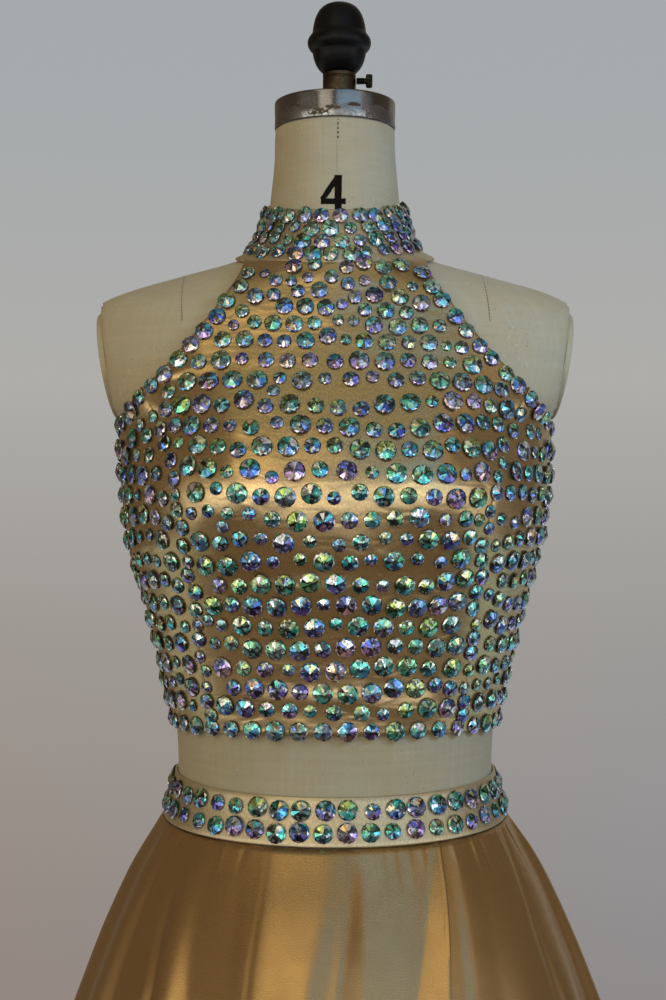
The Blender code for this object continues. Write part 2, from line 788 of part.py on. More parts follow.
def skirt_zip(tape):
    """The closed zip through the waistband and down the skirt's centre-back seam."""
    points = []
    normals = []
    for down in reversed(SKIRT_ROWS[1:ZIP_END_ROW] + (SKIRT_ROWS[ZIP_END_ROW] - 0.001,)):
        points.append(skirt_point(180.0, down))
        slope = skirt_point(180.0, down) - skirt_point(180.0, down + 0.01)
        normals.append(Vector((0, slope.z, -slope.y)).normalized())
    for share in (0.04, 0.5, 0.97):
        height = band_height(math.pi, share)
        out = BAND_CLEARANCE + BAND_WALL + BAND_SPREAD * (1 - share)
        points.append(moved_out(form_point, math.pi, height, out))
        normals.append(outward(form_point, math.pi, height))
    bm = strip_along(points, normals, ZIP_HALF_WIDTH, ZIP_THICKNESS, ZIP_SINK)
    return finish(bm, "skirt_zip", tape)


def slider(name, top_point, lean, metal):
    """A zip slider: a short bevelled block with its back on the closed zip."""
    bm = bmesh.new()
    bmesh.ops.create_cube(bm, size=1.0)
    bmesh.ops.scale(bm, vec=(2 * SLIDER_HALF_WIDTH, SLIDER_THICKNESS, SLIDER_LENGTH),
                    verts=bm.verts[:])
    bmesh.ops.bevel(bm, geom=bm.edges[:], offset=0.5 * MM, segments=2, affect="EDGES", profile=0.5)
    bmesh.ops.translate(bm, vec=(0, SLIDER_THICKNESS / 2, -SLIDER_LENGTH / 2), verts=bm.verts[:])
    bmesh.ops.rotate(bm, cent=(0, 0, 0), matrix=Matrix.Rotation(lean, 3, "X"), verts=bm.verts[:])
    bmesh.ops.translate(bm, vec=top_point, verts=bm.verts[:])
    return finish(bm, name, metal, sharp_angle=30)


def pull_tab(name, pivot, lean, metal):
    """A teardrop pull tab that hangs from its slider and turns about its upper end."""
    bm = bmesh.new()
    outline = []
    for step in range(14):
        turn = 2 * math.pi * step / 14
        down = 0.5 - 0.5 * math.cos(turn)
        width = math.sin(turn) * blend(0.55, 1.0, down)
        outline.append(bm.verts.new((width * PULL_HALF_WIDTH, 0, -down * PULL_LENGTH)))
    bm.faces.new(outline)
    copy = bmesh.ops.extrude_face_region(bm, geom=bm.faces[:], use_keep_orig=True)
    moved = [item for item in copy["geom"] if isinstance(item, bmesh.types.BMVert)]
    bmesh.ops.translate(bm, vec=(0, PULL_THICKNESS, 0), verts=moved)
    bmesh.ops.triangulate(bm, faces=bm.faces[:])
    bmesh.ops.translate(bm, vec=(0, -PULL_THICKNESS / 2, PULL_THICKNESS * 0.4), verts=bm.verts[:])
    bmesh.ops.rotate(bm, cent=(0, 0, 0), matrix=Matrix.Rotation(lean, 3, "X"), verts=bm.verts[:])
    bmesh.ops.translate(bm, vec=pivot, verts=bm.verts[:])
    return finish(bm, name, metal, sharp_angle=30, origin=pivot)


def closing(name, top_point, lean, metal):
    """A slider and its pull tab, whose pivot lies just outside the slider's face."""
    slider(name + "_slider", top_point, lean, metal)
    out = Matrix.Rotation(lean, 3, "X") @ Vector((0, 1, 0))
    down = Matrix.Rotation(lean, 3, "X") @ Vector((0, 0, -1))
    pivot = (Vector(top_point) + out * (SLIDER_THICKNESS + PULL_GAP + PULL_THICKNESS / 2)
             + down * (SLIDER_LENGTH * 0.35))
    pull_tab(name + "_pull", pivot, lean, metal)
    return pivot


def collar_button(name, share, satin):
    """A small covered button lying on the collar at the centre back."""
    step = 0.2
    slope = (collar_point(math.pi, share + step, COLLAR_WALL)
             - collar_point(math.pi, share - step, COLLAR_WALL))
    normal = Vector((0, slope.z, -slope.y)).normalized()
    seat = collar_point(math.pi, share, COLLAR_WALL) + normal * BUTTON_LIFT
    profile = [(0.0, 0.0), (BUTTON_RADIUS * 0.82, 0.0), (BUTTON_RADIUS, BUTTON_HEIGHT * 0.3)]
    for step in range(1, 5):
        turn = math.pi / 2 * step / 4
        radius = BUTTON_RADIUS * math.cos(turn)
        profile.append((max(radius, 0.0), BUTTON_HEIGHT * (0.3 + 0.7 * math.sin(turn))))
    bm = turned(profile, 20)
    tilt = Vector((0, 0, 1)).rotation_difference(normal).to_matrix()
    bmesh.ops.rotate(bm, cent=(0, 0, 0), matrix=tilt, verts=bm.verts[:])
    bmesh.ops.translate(bm, vec=seat, verts=bm.verts[:])
    return finish(bm, name, satin, sharp_angle=60)


def neck_ring(steel):
    """The steel band round the top of the neck, with a lip turned in over its top."""
    bm = bmesh.new()
    sides = 32
    outer_x, outer_y = RING_HALF_WIDTH, RING_HALF_DEPTH
    inset = RING_WALL
    edge = 0.5 * MM
    section = (
        (edge, RING_BOTTOM), (0.0, RING_BOTTOM + edge), (0.0, RING_TOP - edge * 1.5),
        (edge * 1.5, RING_TOP), (RING_LIP, RING_TOP), (RING_LIP, RING_TOP - inset * 0.4),
        (inset, RING_TOP - inset * 0.4), (inset, RING_BOTTOM),
    )
    rings = []
    for step in range(sides):
        turn = 2 * math.pi * step / sides
        ring = []
        for inward, height in section:
            ring.append(bm.verts.new(((outer_x - inward) * math.cos(turn),
                                      (outer_y - inward) * math.sin(turn), height)))
        rings.append(ring)
    for ring, following in zip(rings, rings[1:] + rings[:1]):
        for a, b, c, d in zip(ring, ring[1:] + ring[:1], following[1:] + following[:1], following):
            bm.faces.new((a, b, c, d))
    return finish(bm, "neck_ring", steel, sharp_angle=35)


def neck_fittings(brass, black, steel):
    """The brass socket on the neck, its thumb screw and the bulb knob above it."""
    floor = FORM_SECTIONS[0][0] + SEAM_GAP
    socket = [(0.0, floor), (SOCKET_FLANGE_RADIUS, floor),
              (SOCKET_FLANGE_RADIUS, floor + CAP_THICKNESS), (SOCKET_RADIUS, floor + CAP_THICKNESS),
              (SOCKET_RADIUS, SOCKET_TOP - 0.6 * MM), (SOCKET_RADIUS - 0.6 * MM, SOCKET_TOP),
              (0.0, SOCKET_TOP)]
    finish(turned(socket, 24, (FITTING_X, 0, 0)), "knob_socket", brass, sharp_angle=35)
    finish(turned(KNOB_PROFILE, 20, (FITTING_X, 0, 0)), "bulb_knob", black, sharp_angle=60)
    start = SOCKET_RADIUS + SEAM_GAP
    head_start = SCREW_HEAD_START - FITTING_X
    head_end = SCREW_HEAD_END - FITTING_X
    screw = [(0.0, start), (SCREW_SHAFT_RADIUS, start), (SCREW_SHAFT_RADIUS, head_start),
             (SCREW_HEAD_RADIUS * 0.86, head_start), (SCREW_HEAD_RADIUS, head_start + 0.8 * MM),
             (SCREW_HEAD_RADIUS, head_end - 0.8 * MM), (SCREW_HEAD_RADIUS * 0.86, head_end),
             (0.0, head_end)]
    bm = turned(screw, 20)
    bmesh.ops.rotate(bm, cent=(0, 0, 0), matrix=Matrix.Rotation(math.pi / 2, 3, "Y"),
                     verts=bm.verts[:])
    pivot = Vector((FITTING_X, 0, SCREW_HEIGHT))
    bmesh.ops.translate(bm, vec=pivot, verts=bm.verts[:])
    finish(bm, "thumb_screw", steel, sharp_angle=35, origin=pivot)


def underside_board(wood):
    """The wooden board that closes the form's underside."""
    top = FORM_BOTTOM - SEAM_GAP
    rings = []
    for height, inset in ((top - BOARD_THICKNESS, BOARD_INSET + 1.5 * MM),
                          (top - BOARD_THICKNESS + 1.5 * MM, BOARD_INSET), (top, BOARD_INSET)):
        ring = []
        for side in range(FORM_SIDES):
            edge = form_point(2 * math.pi * side / FORM_SIDES, FORM_BOTTOM)
            inward = Vector((edge.x, edge.y, 0)).normalized() * inset
            ring.append(Vector((edge.x - inward.x, edge.y - inward.y, height)))
        rings.append(ring)
    finish(closed_loft(rings), "underside_board", wood, sharp_angle=35)


def pole_socket(iron):
    """The flanged tube under the board that turns on the pole's upper end."""
    top = FORM_BOTTOM - 2 * SEAM_GAP - BOARD_THICKNESS
    bottom = top - SOCKET_LENGTH
    inner = POLE_RADIUS + RUNNING_GAP
    profile = [(inner, bottom), (SOCKET_OUTER, bottom), (SOCKET_OUTER, top - FLANGE_THICKNESS),
               (FLANGE_RADIUS, top - FLANGE_THICKNESS), (FLANGE_RADIUS, top), (inner, top),
               (inner, bottom)]
    finish(turned(profile, STAND_SIDES), "pole_socket", iron, sharp_angle=35)


def stand(iron, steel):
    """The round weighted base and the pole that stands in its boss."""
    bore = POLE_RADIUS + SEAM_GAP
    base = [(0.0, 0.0), (BASE_RADIUS - 2 * MM, 0.0), (BASE_RADIUS, 2 * MM), (BASE_RADIUS, BASE_EDGE),
            (BASE_RADIUS - 5 * MM, BASE_EDGE + 4 * MM), (BASE_RADIUS * 0.55, BASE_CROWN - 2 * MM),
            (BOSS_RADIUS + 12 * MM, BASE_CROWN), (BOSS_RADIUS + 3 * MM, BASE_CROWN + 5 * MM),
            (BOSS_RADIUS, BASE_CROWN + 14 * MM), (BOSS_RADIUS, BOSS_TOP - 3 * MM),
            (BOSS_RADIUS - 3 * MM, BOSS_TOP), (bore, BOSS_TOP), (bore, POLE_SEAT), (0.0, POLE_SEAT)]
    finish(turned(base, STAND_SIDES), "stand_base", iron, sharp_angle=35)
    top = FORM_BOTTOM - 2 * SEAM_GAP - BOARD_THICKNESS - SEAM_GAP
    bottom = POLE_SEAT + SEAM_GAP
    pole = [(0.0, bottom), (POLE_RADIUS - 1 * MM, bottom), (POLE_RADIUS, bottom + 1 * MM),
            (POLE_RADIUS, top - 1 * MM), (POLE_RADIUS - 1 * MM, top), (0.0, top)]
    finish(turned(pole, STAND_SIDES), "stand_pole", steel, sharp_angle=35)


def main():
    for thing in list(bpy.data.objects):
        bpy.data.objects.remove(thing, do_unlink=True)

    satin = make_material("gold_satin", (0.46, 0.29, 0.11), 0.32)
    band_satin = make_material("gold_satin_faced", (0.55, 0.37, 0.16), 0.32)
    linen = make_material("form_linen", (0.56, 0.52, 0.41), 0.85)
    tape = make_material("zip_tape", (0.40, 0.26, 0.11), 0.70)
    nickel = make_material("zip_metal", (0.55, 0.45, 0.27), 0.30, 1.0)
    steel = make_material("neck_steel", (0.55, 0.55, 0.55), 0.30, 1.0)
    brass = make_material("dark_brass", (0.20, 0.15, 0.09), 0.45, 1.0)
    black = make_material("black_knob", (0.012, 0.013, 0.015), 0.35)
    dark_steel = make_material("screw_steel", (0.08, 0.08, 0.08), 0.45, 1.0)
    wood = make_material("underside_wood", (0.42, 0.28, 0.16), 0.60)
    iron = make_material("stand_iron", (0.02, 0.02, 0.022), 0.50)
    pole_steel = make_material("pole_steel", (0.50, 0.50, 0.50), 0.28, 1.0)

    dress_form(linen)
    arm_plate("arm_plate_left", -1, linen)
    arm_plate("arm_plate_right", 1, linen)
    top_front(satin)
    top_side("top_side_left", -1, satin)
    top_side("top_side_right", 1, satin)
    top_back("top_back_left", -1, satin)
    top_back("top_back_right", 1, satin)
    top_zip(tape)
    collar(satin)
    collar_button("collar_button_upper", UPPER_BUTTON_AT, satin)
    collar_button("collar_button_lower", LOWER_BUTTON_AT, satin)
    waistband(band_satin)
    skirt_wall("skirt_front", skirt_front_angles, satin)
    skirt_wall("skirt_back_left", skirt_left_back_angles, satin)
    skirt_wall("skirt_back_right", skirt_right_back_angles, satin)
    skirt_zip(tape)
    neck_ring(steel)
    neck_fittings(brass, black, dark_steel)
    underside_board(wood)
    pole_socket(iron)
    stand(iron, pole_steel)

    zip_top = moved_out(cloth_base, math.pi, BACK_TOP, TOP_CLEARANCE + TOP_WALL + SEAM_GAP)
    closing("top_zip", zip_top, 0.0, nickel)
    band_out = BAND_CLEARANCE + BAND_WALL + SEAM_GAP
    band_upper = moved_out(form_point, math.pi, band_height(math.pi, 1.0), band_out)
    band_lower = moved_out(form_point, math.pi, band_height(math.pi, 0.0), band_out + BAND_SPREAD)
    band_lean = math.atan2(band_lower.y - band_upper.y, band_upper.z - band_lower.z)
    closing("skirt_zip", band_upper, band_lean, nickel)


main()
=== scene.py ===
"""Two-piece ball gown on a limbless dress form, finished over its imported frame.

Gold satin shells with their folds, cut stones sewn on in rows, a linen-covered form,
steel and brass fittings on its neck and a stand under it. Metres, +Z up, the front of
the gown faces -Y and the origin lies on the floor at the middle of the base.
"""

import math
import random

import bmesh
import bpy
import numpy as np
from mathutils import Matrix, Vector, noise


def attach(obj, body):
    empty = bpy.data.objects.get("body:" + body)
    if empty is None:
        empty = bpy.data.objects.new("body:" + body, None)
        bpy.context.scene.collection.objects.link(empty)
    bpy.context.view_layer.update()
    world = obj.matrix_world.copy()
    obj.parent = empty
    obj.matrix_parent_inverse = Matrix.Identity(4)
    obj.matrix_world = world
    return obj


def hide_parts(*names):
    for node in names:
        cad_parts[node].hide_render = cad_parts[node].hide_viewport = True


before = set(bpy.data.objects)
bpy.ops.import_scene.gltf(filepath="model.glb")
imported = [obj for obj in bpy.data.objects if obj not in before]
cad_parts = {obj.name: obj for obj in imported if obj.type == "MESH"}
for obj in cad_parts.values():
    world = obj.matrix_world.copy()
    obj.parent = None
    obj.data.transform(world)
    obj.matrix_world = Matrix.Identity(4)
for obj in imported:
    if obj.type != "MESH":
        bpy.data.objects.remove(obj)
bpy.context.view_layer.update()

MM = 0.001

# The frame's bodies
FORM_BODY = "form"
STAND_BODY = "stand"

# Cloth: how far its outer face lies from the form, and how thick it is
TOP_OUT = 2.7 * MM
NECK_EASE = 1.2 * MM
COLLAR_OUT = 2.6 * MM
COLLAR_EASE = 2.4 * MM
BAND_OUT = 2.4 * MM
BAND_SPREAD = 2.0 * MM
SATIN_THICKNESS = 0.6 * MM
SEAM_GAP = 0.3 * MM
SEAM_ROLL = 0.35 * MM
SIDES = ("left", "right", "bottom", "top")
ROLL_STEPS = 4

# Rough distances from the axis, that turn a length along the cloth into an angle
CHEST_RADIUS = 0.12
BACK_DEPTH = 0.098
WAIST_DEPTH = 0.088
COLLAR_RADIUS = 0.055
NECK_RADIUS = 0.043

# Vertices nearer than this are joined
MERGE_DISTANCE = 1e-6

# Heights of the garment's edges
HEM_SIDE = 1.0985
HEM_FRONT_LIFT = 0.0055
UNDERARM = 1.3020
BACK_TOP = 1.2720
SEAM_MEETS_ARMHOLE = 1.3270
COLLAR_BASE = 1.4225
COLLAR_BASE_TILT = 0.0140
COLLAR_TOP = 1.4570
COLLAR_TOP_TILT = 0.0110
BAND_TOP = 1.0654
BAND_BOTTOM = 1.0353
BAND_TILT = 0.0030
SKIRT_TOP = 1.0350
SKIRT_HEM = 0.0080

# The dress form: height in metres, then half width, front and back depth in mm and
# the roundness of its section
FORM_SECTIONS = (
    (1.5280, 39.8, 41.3, 41.3, 2.00),
    (1.5105, 39.8, 41.3, 41.3, 2.00),
    (1.5090, 41.4, 43.0, 43.0, 2.05),
    (1.4900, 42.2, 44.0, 44.0, 2.05),
    (1.4650, 44.4, 46.0, 46.0, 2.05),
    (1.4450, 46.6, 48.5, 49.0, 2.05),
    (1.4330, 49.8, 51.5, 53.5, 2.00),
    (1.4260, 55.0, 54.0, 58.0, 1.90),
    (1.4210, 62.5, 56.0, 62.0, 1.75),
    (1.4160, 77.5, 58.0, 67.0, 1.60),
    (1.4110, 97.0, 60.0, 71.0, 1.55),
    (1.4060, 116.0, 62.0, 75.0, 1.55),
    (1.4010, 134.0, 64.0, 78.0, 1.60),
    (1.3960, 149.0, 66.0, 81.0, 1.65),
    (1.3900, 162.0, 68.0, 84.0, 1.75),
    (1.3820, 171.0, 71.0, 87.0, 1.85),
    (1.3600, 175.0, 79.0, 93.0, 1.95),
    (1.3350, 169.0, 89.5, 98.0, 2.00),
    (1.3160, 158.0, 98.0, 100.0, 2.10),
    (1.3070, 147.3, 101.0, 100.3, 2.20),
    (1.3000, 146.8, 103.5, 100.5, 2.20),
    (1.2620, 145.4, 111.0, 99.0, 2.20),
    (1.2350, 142.0, 110.0, 96.5, 2.20),
    (1.2080, 135.6, 105.5, 93.5, 2.15),
    (1.1800, 128.6, 100.0, 90.0, 2.10),
    (1.1530, 121.3, 95.5, 86.5, 2.10),
    (1.1250, 115.4, 92.0, 84.0, 2.05),
    (1.0980, 110.7, 89.5, 82.5, 2.05),
    (1.0700, 109.4, 87.0, 83.0, 2.05),
    (1.0350, 115.6, 91.0, 89.5, 2.05),
    (1.0000, 128.0, 97.0, 100.0, 2.10),
    (0.9500, 146.0, 104.0, 116.0, 2.10),
    (0.9000, 159.0, 108.0, 124.0, 2.10),
    (0.8600, 163.0, 109.0, 122.0, 2.10),
    (0.8200, 160.0, 108.0, 116.0, 2.10),
)
BUST_SIDE = 0.068
BUST_HEIGHT = 1.262
BUST_RISE = 0.0145
BUST_WIDTH = 0.046
BUST_ABOVE = 0.052
BUST_BELOW = 0.040
BRIDGE_RISE = 0.0075
BRIDGE_WIDTH = 0.040
BRIDGE_SPAN = 0.060
STAND_OFF = 0.0035
STAND_OFF_HEIGHT = 1.195
STAND_OFF_SPAN = 0.045

# Flat arm ends and their plates
PLATE_TOP_X = 0.1607
PLATE_TOP_HEIGHT = 1.383
PLATE_LEAN = 0.159
PLATE_MIDDLE = 1.3465
PLATE_HALF_HEIGHT = 0.0375
PLATE_HALF_DEPTH = 0.0400
PLATE_THICKNESS = 0.0040
PLATE_BACK_SHIFT = 0.0060

# Lines on the top: height and distance from the middle, in metres
ARMHOLE_EDGE = (
    (1.3020, 0.1468),
    (1.3160, 0.1355),
    (1.3300, 0.1210),
    (1.3490, 0.1025),
    (1.3680, 0.0860),
    (1.3860, 0.0725),
    (1.4030, 0.0615),
    (1.4180, 0.0575),
)
PRINCESS_SEAM = (
    (1.0900, 0.0785),
    (1.1200, 0.0815),
    (1.1600, 0.0865),
    (1.2000, 0.0905),
    (1.2400, 0.0955),
    (1.2800, 0.1050),
    (1.3100, 0.1165),
    (1.3270, 0.1246),
)

# The skirt's sections: height in metres, then half width, front and back depth in mm
SKIRT_SECTIONS = (
    (1.0350, 120.3, 95.4, 94.1),
    (1.0200, 128.5, 103.0, 103.0),
    (0.9990, 140.0, 114.0, 116.0),
    (0.9720, 152.0, 127.0, 131.0),
    (0.9440, 163.0, 139.0, 145.0),
    (0.9030, 177.5, 155.0, 163.0),
    (0.8000, 213.0, 192.0, 201.0),
    (0.6000, 282.0, 262.0, 272.0),
    (0.4000, 350.0, 332.0, 342.0),
    (0.2000, 418.0, 402.0, 412.0),
    (0.0080, 482.0, 468.0, 478.0),
)
# Its main folds: each crest's angle at the band and at the hem and its half width, in
# degrees, and how far it stands out at the hem and at the band, in mm
SKIRT_FOLDS = (
    (-170.0, -168.0, 10.0, 32.0, 1.2),
    (-149.0, -148.0, 11.0, 36.0, 1.0),
    (-128.0, -126.0, 10.0, 30.0, 1.4),
    (-107.0, -106.0, 10.5, 36.0, 1.5),
    (-85.0, -86.0, 11.0, 22.0, 1.2),
    (-66.0, -66.0, 10.0, 20.0, 1.4),
    (-50.0, -50.0, 6.5, 14.0, 1.6),
    (-37.0, -37.0, 9.5, 36.0, 1.0),
    (2.0, -14.0, 10.5, 36.0, 0.4),
    (7.0, -3.5, 6.0, 18.0, 0.6),
    (31.0, 29.0, 8.0, 22.0, 0.0),
    (50.0, 48.0, 9.0, 28.0, 1.2),
    (66.0, 66.0, 9.0, 34.0, 2.6),
    (84.0, 85.0, 10.0, 36.0, 2.8),
    (104.0, 105.0, 10.5, 34.0, 1.6),
    (126.0, 126.0, 11.0, 34.0, 1.4),
    (148.0, 148.0, 10.5, 36.0, 1.0),
    (169.0, 168.0, 9.5, 30.0, 1.2),
)
FOLD_SWING = 0.12
FOLD_GROWTH = 0.75
GATHER_START = 0.02
GATHER_LENGTH = 0.20
# The pressed pleat: degrees at the band and the hem, and mm
PLEAT_AT_BAND = 34.0
PLEAT_AT_HEM = 14.0
PLEAT_SWING = 0.14
PLEAT_SLOPE_DOWNS = (0.0, 0.10, 0.35, 1.0)
PLEAT_SLOPES = (4.0, 8.0, 13.0, 13.0)
PLEAT_SWELL = 4.2
PLEAT_RISE = 26.0
PLEAT_AT_TOP = 1.4
ZIP_END_DOWN = 0.185
ZIP_HALF_WIDTH = 1.2 * MM

# Neck ring and the fittings over it
RING_HALF_WIDTH = 42.0 * MM
RING_HALF_DEPTH = 43.6 * MM
RING_WALL = 1.6 * MM
RING_BOTTOM = 1.5105
RING_TOP = 1.5290


class SmoothTable:
    """The rows of a table, joined by curves that never swing past a row."""

    def __init__(self, rows):
        ordered = sorted(rows)
        self.keys = np.array([row[0] for row in ordered])
        self.values = np.array([row[1:] for row in ordered])
        steps = np.diff(self.keys)[:, None]
        rises = np.diff(self.values, axis=0) / steps
        slopes = np.zeros_like(self.values)
        slopes[0] = rises[0]
        slopes[-1] = rises[-1]
        before, after = rises[:-1], rises[1:]
        same_way = before * after > 0
        total = np.where(same_way, before + after, 1.0)
        slopes[1:-1] = np.where(same_way, 2 * before * after / total, 0.0)
        self.slopes = slopes

    def at(self, key):
        """Each column of the table, at a key or at an array of keys."""
        key = np.clip(np.asarray(key, float), self.keys[0], self.keys[-1])
        row = np.clip(np.searchsorted(self.keys, key, side="right") - 1, 0, len(self.keys) - 2)
        step = (self.keys[row + 1] - self.keys[row])[..., None]
        t = (key[..., None] - self.keys[row][..., None]) / step
        h00 = 2 * t ** 3 - 3 * t ** 2 + 1
        h10 = t ** 3 - 2 * t ** 2 + t
        h01 = -2 * t ** 3 + 3 * t ** 2
        h11 = t ** 3 - t ** 2
        found = (h00 * self.values[row] + h10 * step * self.slopes[row]
                 + h01 * self.values[row + 1] + h11 * step * self.slopes[row + 1])
        return np.moveaxis(found, -1, 0)


FORM_TABLE = SmoothTable(FORM_SECTIONS)
ARMHOLE_TABLE = SmoothTable(ARMHOLE_EDGE)
PRINCESS_TABLE = SmoothTable(PRINCESS_SEAM)
SKIRT_TABLE = SmoothTable(SKIRT_SECTIONS)


def bell(distance, width):
    """1 at the middle, falling softly to 0 over about two widths."""
    return np.exp(-(distance / width) ** 2)


def blend(first, second, share):
    """From the first at share 0 to the second at share 1."""
    return first + (second - first) * share


def smooth_step(value, low, high):
    """0 below the low value and 1 above the high one, with a soft climb between."""
    share = np.clip((value - low) / (high - low), 0.0, 1.0)
    return share * share * (3 - 2 * share)


def form_surface(angle, height):
    """Points on the form: angle 0 is the middle of the front, 90 degrees is +X."""
    angle, height = np.broadcast_arrays(np.asarray(angle, float), np.asarray(height, float))
    half_width, front, back, roundness = FORM_TABLE.at(height)
    sine, cosine = np.sin(angle), np.cos(angle)
    across = np.sign(sine) * np.abs(sine) ** (2 / roundness)
    along = np.sign(cosine) * np.abs(cosine) ** (2 / roundness)
    plate = PLATE_TOP_X + (height - PLATE_TOP_HEIGHT) * PLATE_LEAN
    limit = np.where(height > UNDERARM, plate, 1.0)
    x = np.clip(half_width * MM * across, -limit, limit)
    y = -np.where(along > 0, front, back) * MM * along
    reach = np.where(height > BUST_HEIGHT, BUST_ABOVE, BUST_BELOW)
    rise = BUST_RISE * bell(height - BUST_HEIGHT, reach) * np.clip(along * 2, 0, 1)
    for side in (-BUST_SIDE, BUST_SIDE):
        y = y - rise * bell(x - side, BUST_WIDTH)
    return np.stack((x, y, height), axis=-1)


def cloth_surface(angle, height):
    """What the top's cloth follows: the form, bridged between the rises of the bust."""
    point = form_surface(angle, height)
    forward = np.clip(np.cos(angle) * 1.5, 0, 1)
    bridge = bell(point[..., 0], BRIDGE_WIDTH) * bell(point[..., 2] - BUST_HEIGHT, BRIDGE_SPAN)
    hang = STAND_OFF * bell(point[..., 2] - STAND_OFF_HEIGHT, STAND_OFF_SPAN)
    point[..., 1] -= (BRIDGE_RISE * bridge + hang) * forward
    return point


def outward(surface, first, second, step=0.002):
    """Unit normals of a surface of two parameters, pointing away from the axis."""
    along = surface(first + step, second) - surface(first - step, second)
    up = surface(first, second + step) - surface(first, second - step)
    normal = np.cross(along, up)
    return normal / np.maximum(np.linalg.norm(normal, axis=-1, keepdims=True), 1e-12)


def moved_out(surface, first, second, distance):
    """Points a distance out from a surface, along its normals."""
    distance = np.asarray(distance, float)[..., None]
    return surface(first, second) + outward(surface, first, second) * distance


def angle_at(from_middle, height):
    """The angle round the form of a point that far from the middle, on the front."""
    half_width, _, _, roundness = FORM_TABLE.at(height)
    share = np.minimum(1.0, np.abs(from_middle) / (half_width * MM))
    return np.arcsin(share ** (roundness / 2))


def armhole_angle(height):
    edge = angle_at(ARMHOLE_TABLE.at(height)[0], height)
    return np.where(np.asarray(height) <= UNDERARM, math.pi / 2, edge)


def princess_angle(height):
    return angle_at(PRINCESS_TABLE.at(height)[0], height)


def hem_height(angle):
    return HEM_SIDE + HEM_FRONT_LIFT * ((1 + np.cos(angle)) / 2) ** 2


def collar_base_height(angle):
    return COLLAR_BASE - COLLAR_BASE_TILT * np.cos(angle)


def collar_top_height(angle):
    return COLLAR_TOP - COLLAR_TOP_TILT * np.cos(angle)


def back_top_height(angle):
    """The back's upper edge falls from the underarm to the zip."""
    share = np.clip((np.abs(angle) - math.pi / 2) / (math.pi / 2), 0, 1)
    return blend(UNDERARM, BACK_TOP, np.sin(math.pi / 2 * share))


def top_ease(height):
    """The front lifts a little more off the form towards the collar."""
    return NECK_EASE * np.clip((height - SEAM_MEETS_ARMHOLE) / 0.08, 0, 1)


def collar_outside(angle, share):
    """The collar's outer face, at a share of its height."""
    height = blend(collar_base_height(angle), collar_top_height(angle), share)
    ease = COLLAR_EASE * np.sin(math.pi * np.clip(share, 0, 1)) * (1 - 0.5 * share)
    return moved_out(form_surface, angle, height, COLLAR_OUT + ease)


def band_outside(angle, share):
    """The waistband's outer face, at a share of its height."""
    height = BAND_BOTTOM + share * (BAND_TOP - BAND_BOTTOM) - BAND_TILT * np.cos(angle)
    return moved_out(form_surface, angle, height, BAND_OUT + BAND_SPREAD * (1 - share))


# Node trees
class Tree:
    """Short calls that add nodes to a tree and join them."""

    def __init__(self, tree):
        self.tree = tree

    def join(self, output, socket):
        self.tree.links.new(output, socket)

    def add(self, kind, inputs=None, **settings):
        """A node of this kind: inputs takes numbers, colours or other nodes' outputs."""
        node = self.tree.nodes.new(kind)
        for key, value in settings.items():
            setattr(node, key, value)
        for key, value in (inputs or {}).items():
            if isinstance(value, bpy.types.NodeSocket):
                self.join(value, node.inputs[key])
            else:
                node.inputs[key].default_value = value
        return node

    def math(self, operation, first, second=0.0):
        return self.add("ShaderNodeMath", {0: first, 1: second}, operation=operation).outputs[0]

    def times(self, first, second):
        return self.math("MULTIPLY", first, second)

    def vector(self, operation, first, second=(0.0, 0.0, 0.0)):
        node = self.add("ShaderNodeVectorMath", {0: first, 1: second}, operation=operation)
        return node.outputs["Value" if operation == "LENGTH" else "Vector"]

    def remap(self, value, low, high, new_low=0.0, new_high=1.0, soft=False):
        """A value from low..high brought to new_low..new_high and held there."""
        node = self.add("ShaderNodeMapRange",
                        {0: value, 1: low, 2: high, 3: new_low, 4: new_high},
                        interpolation_type="SMOOTHSTEP" if soft else "LINEAR")
        return node.outputs[0]

    def spread(self, share, low, high):
        """A share brought to low..high."""
        return self.remap(share, 0.0, 1.0, low, high)

    def mix(self, share, first, second, kind="MIX"):
        """Two colours mixed, each an output or red, green and blue."""
        first, second = (tone if isinstance(tone, bpy.types.NodeSocket) else (*tone, 1.0)
                         for tone in (first, second))
        node = self.add("ShaderNodeMix", {0: share, 6: first, 7: second},
                        data_type="RGBA", blend_type=kind)
        return node.outputs[2]

    def stained(self, base, mark, amount, tone):
        """The base covered by another colour where the mark is, up to this amount."""
        return self.mix(self.times(mark, amount), base, tone)

    def noise(self, place, scale, detail=2.0, roughness=0.5, distortion=0.0):
        node = self.add("ShaderNodeTexNoise", {
            "Vector": place, "Scale": scale, "Detail": detail, "Roughness": roughness,
            "Distortion": distortion})
        return node.outputs[0]

    def stretched(self, place, scale):
        return self.add("ShaderNodeMapping", {"Vector": place, "Scale": scale}).outputs[0]

    def streaks(self, place, scale, detail, roughness=0.5, distortion=0.0):
        """Noise of another size along each axis."""
        return self.noise(self.stretched(place, scale), 1.0, detail, roughness, distortion)

    def bump(self, height, strength, distance, normal=None):
        inputs = {"Height": height, "Strength": strength, "Distance": distance}
        if normal is not None:
            inputs["Normal"] = normal
        return self.add("ShaderNodeBump", inputs).outputs[0]

    def group(self, group, **inputs):
        """A node group's outputs by name."""
        return self.add("ShaderNodeGroup", inputs, node_tree=group).outputs


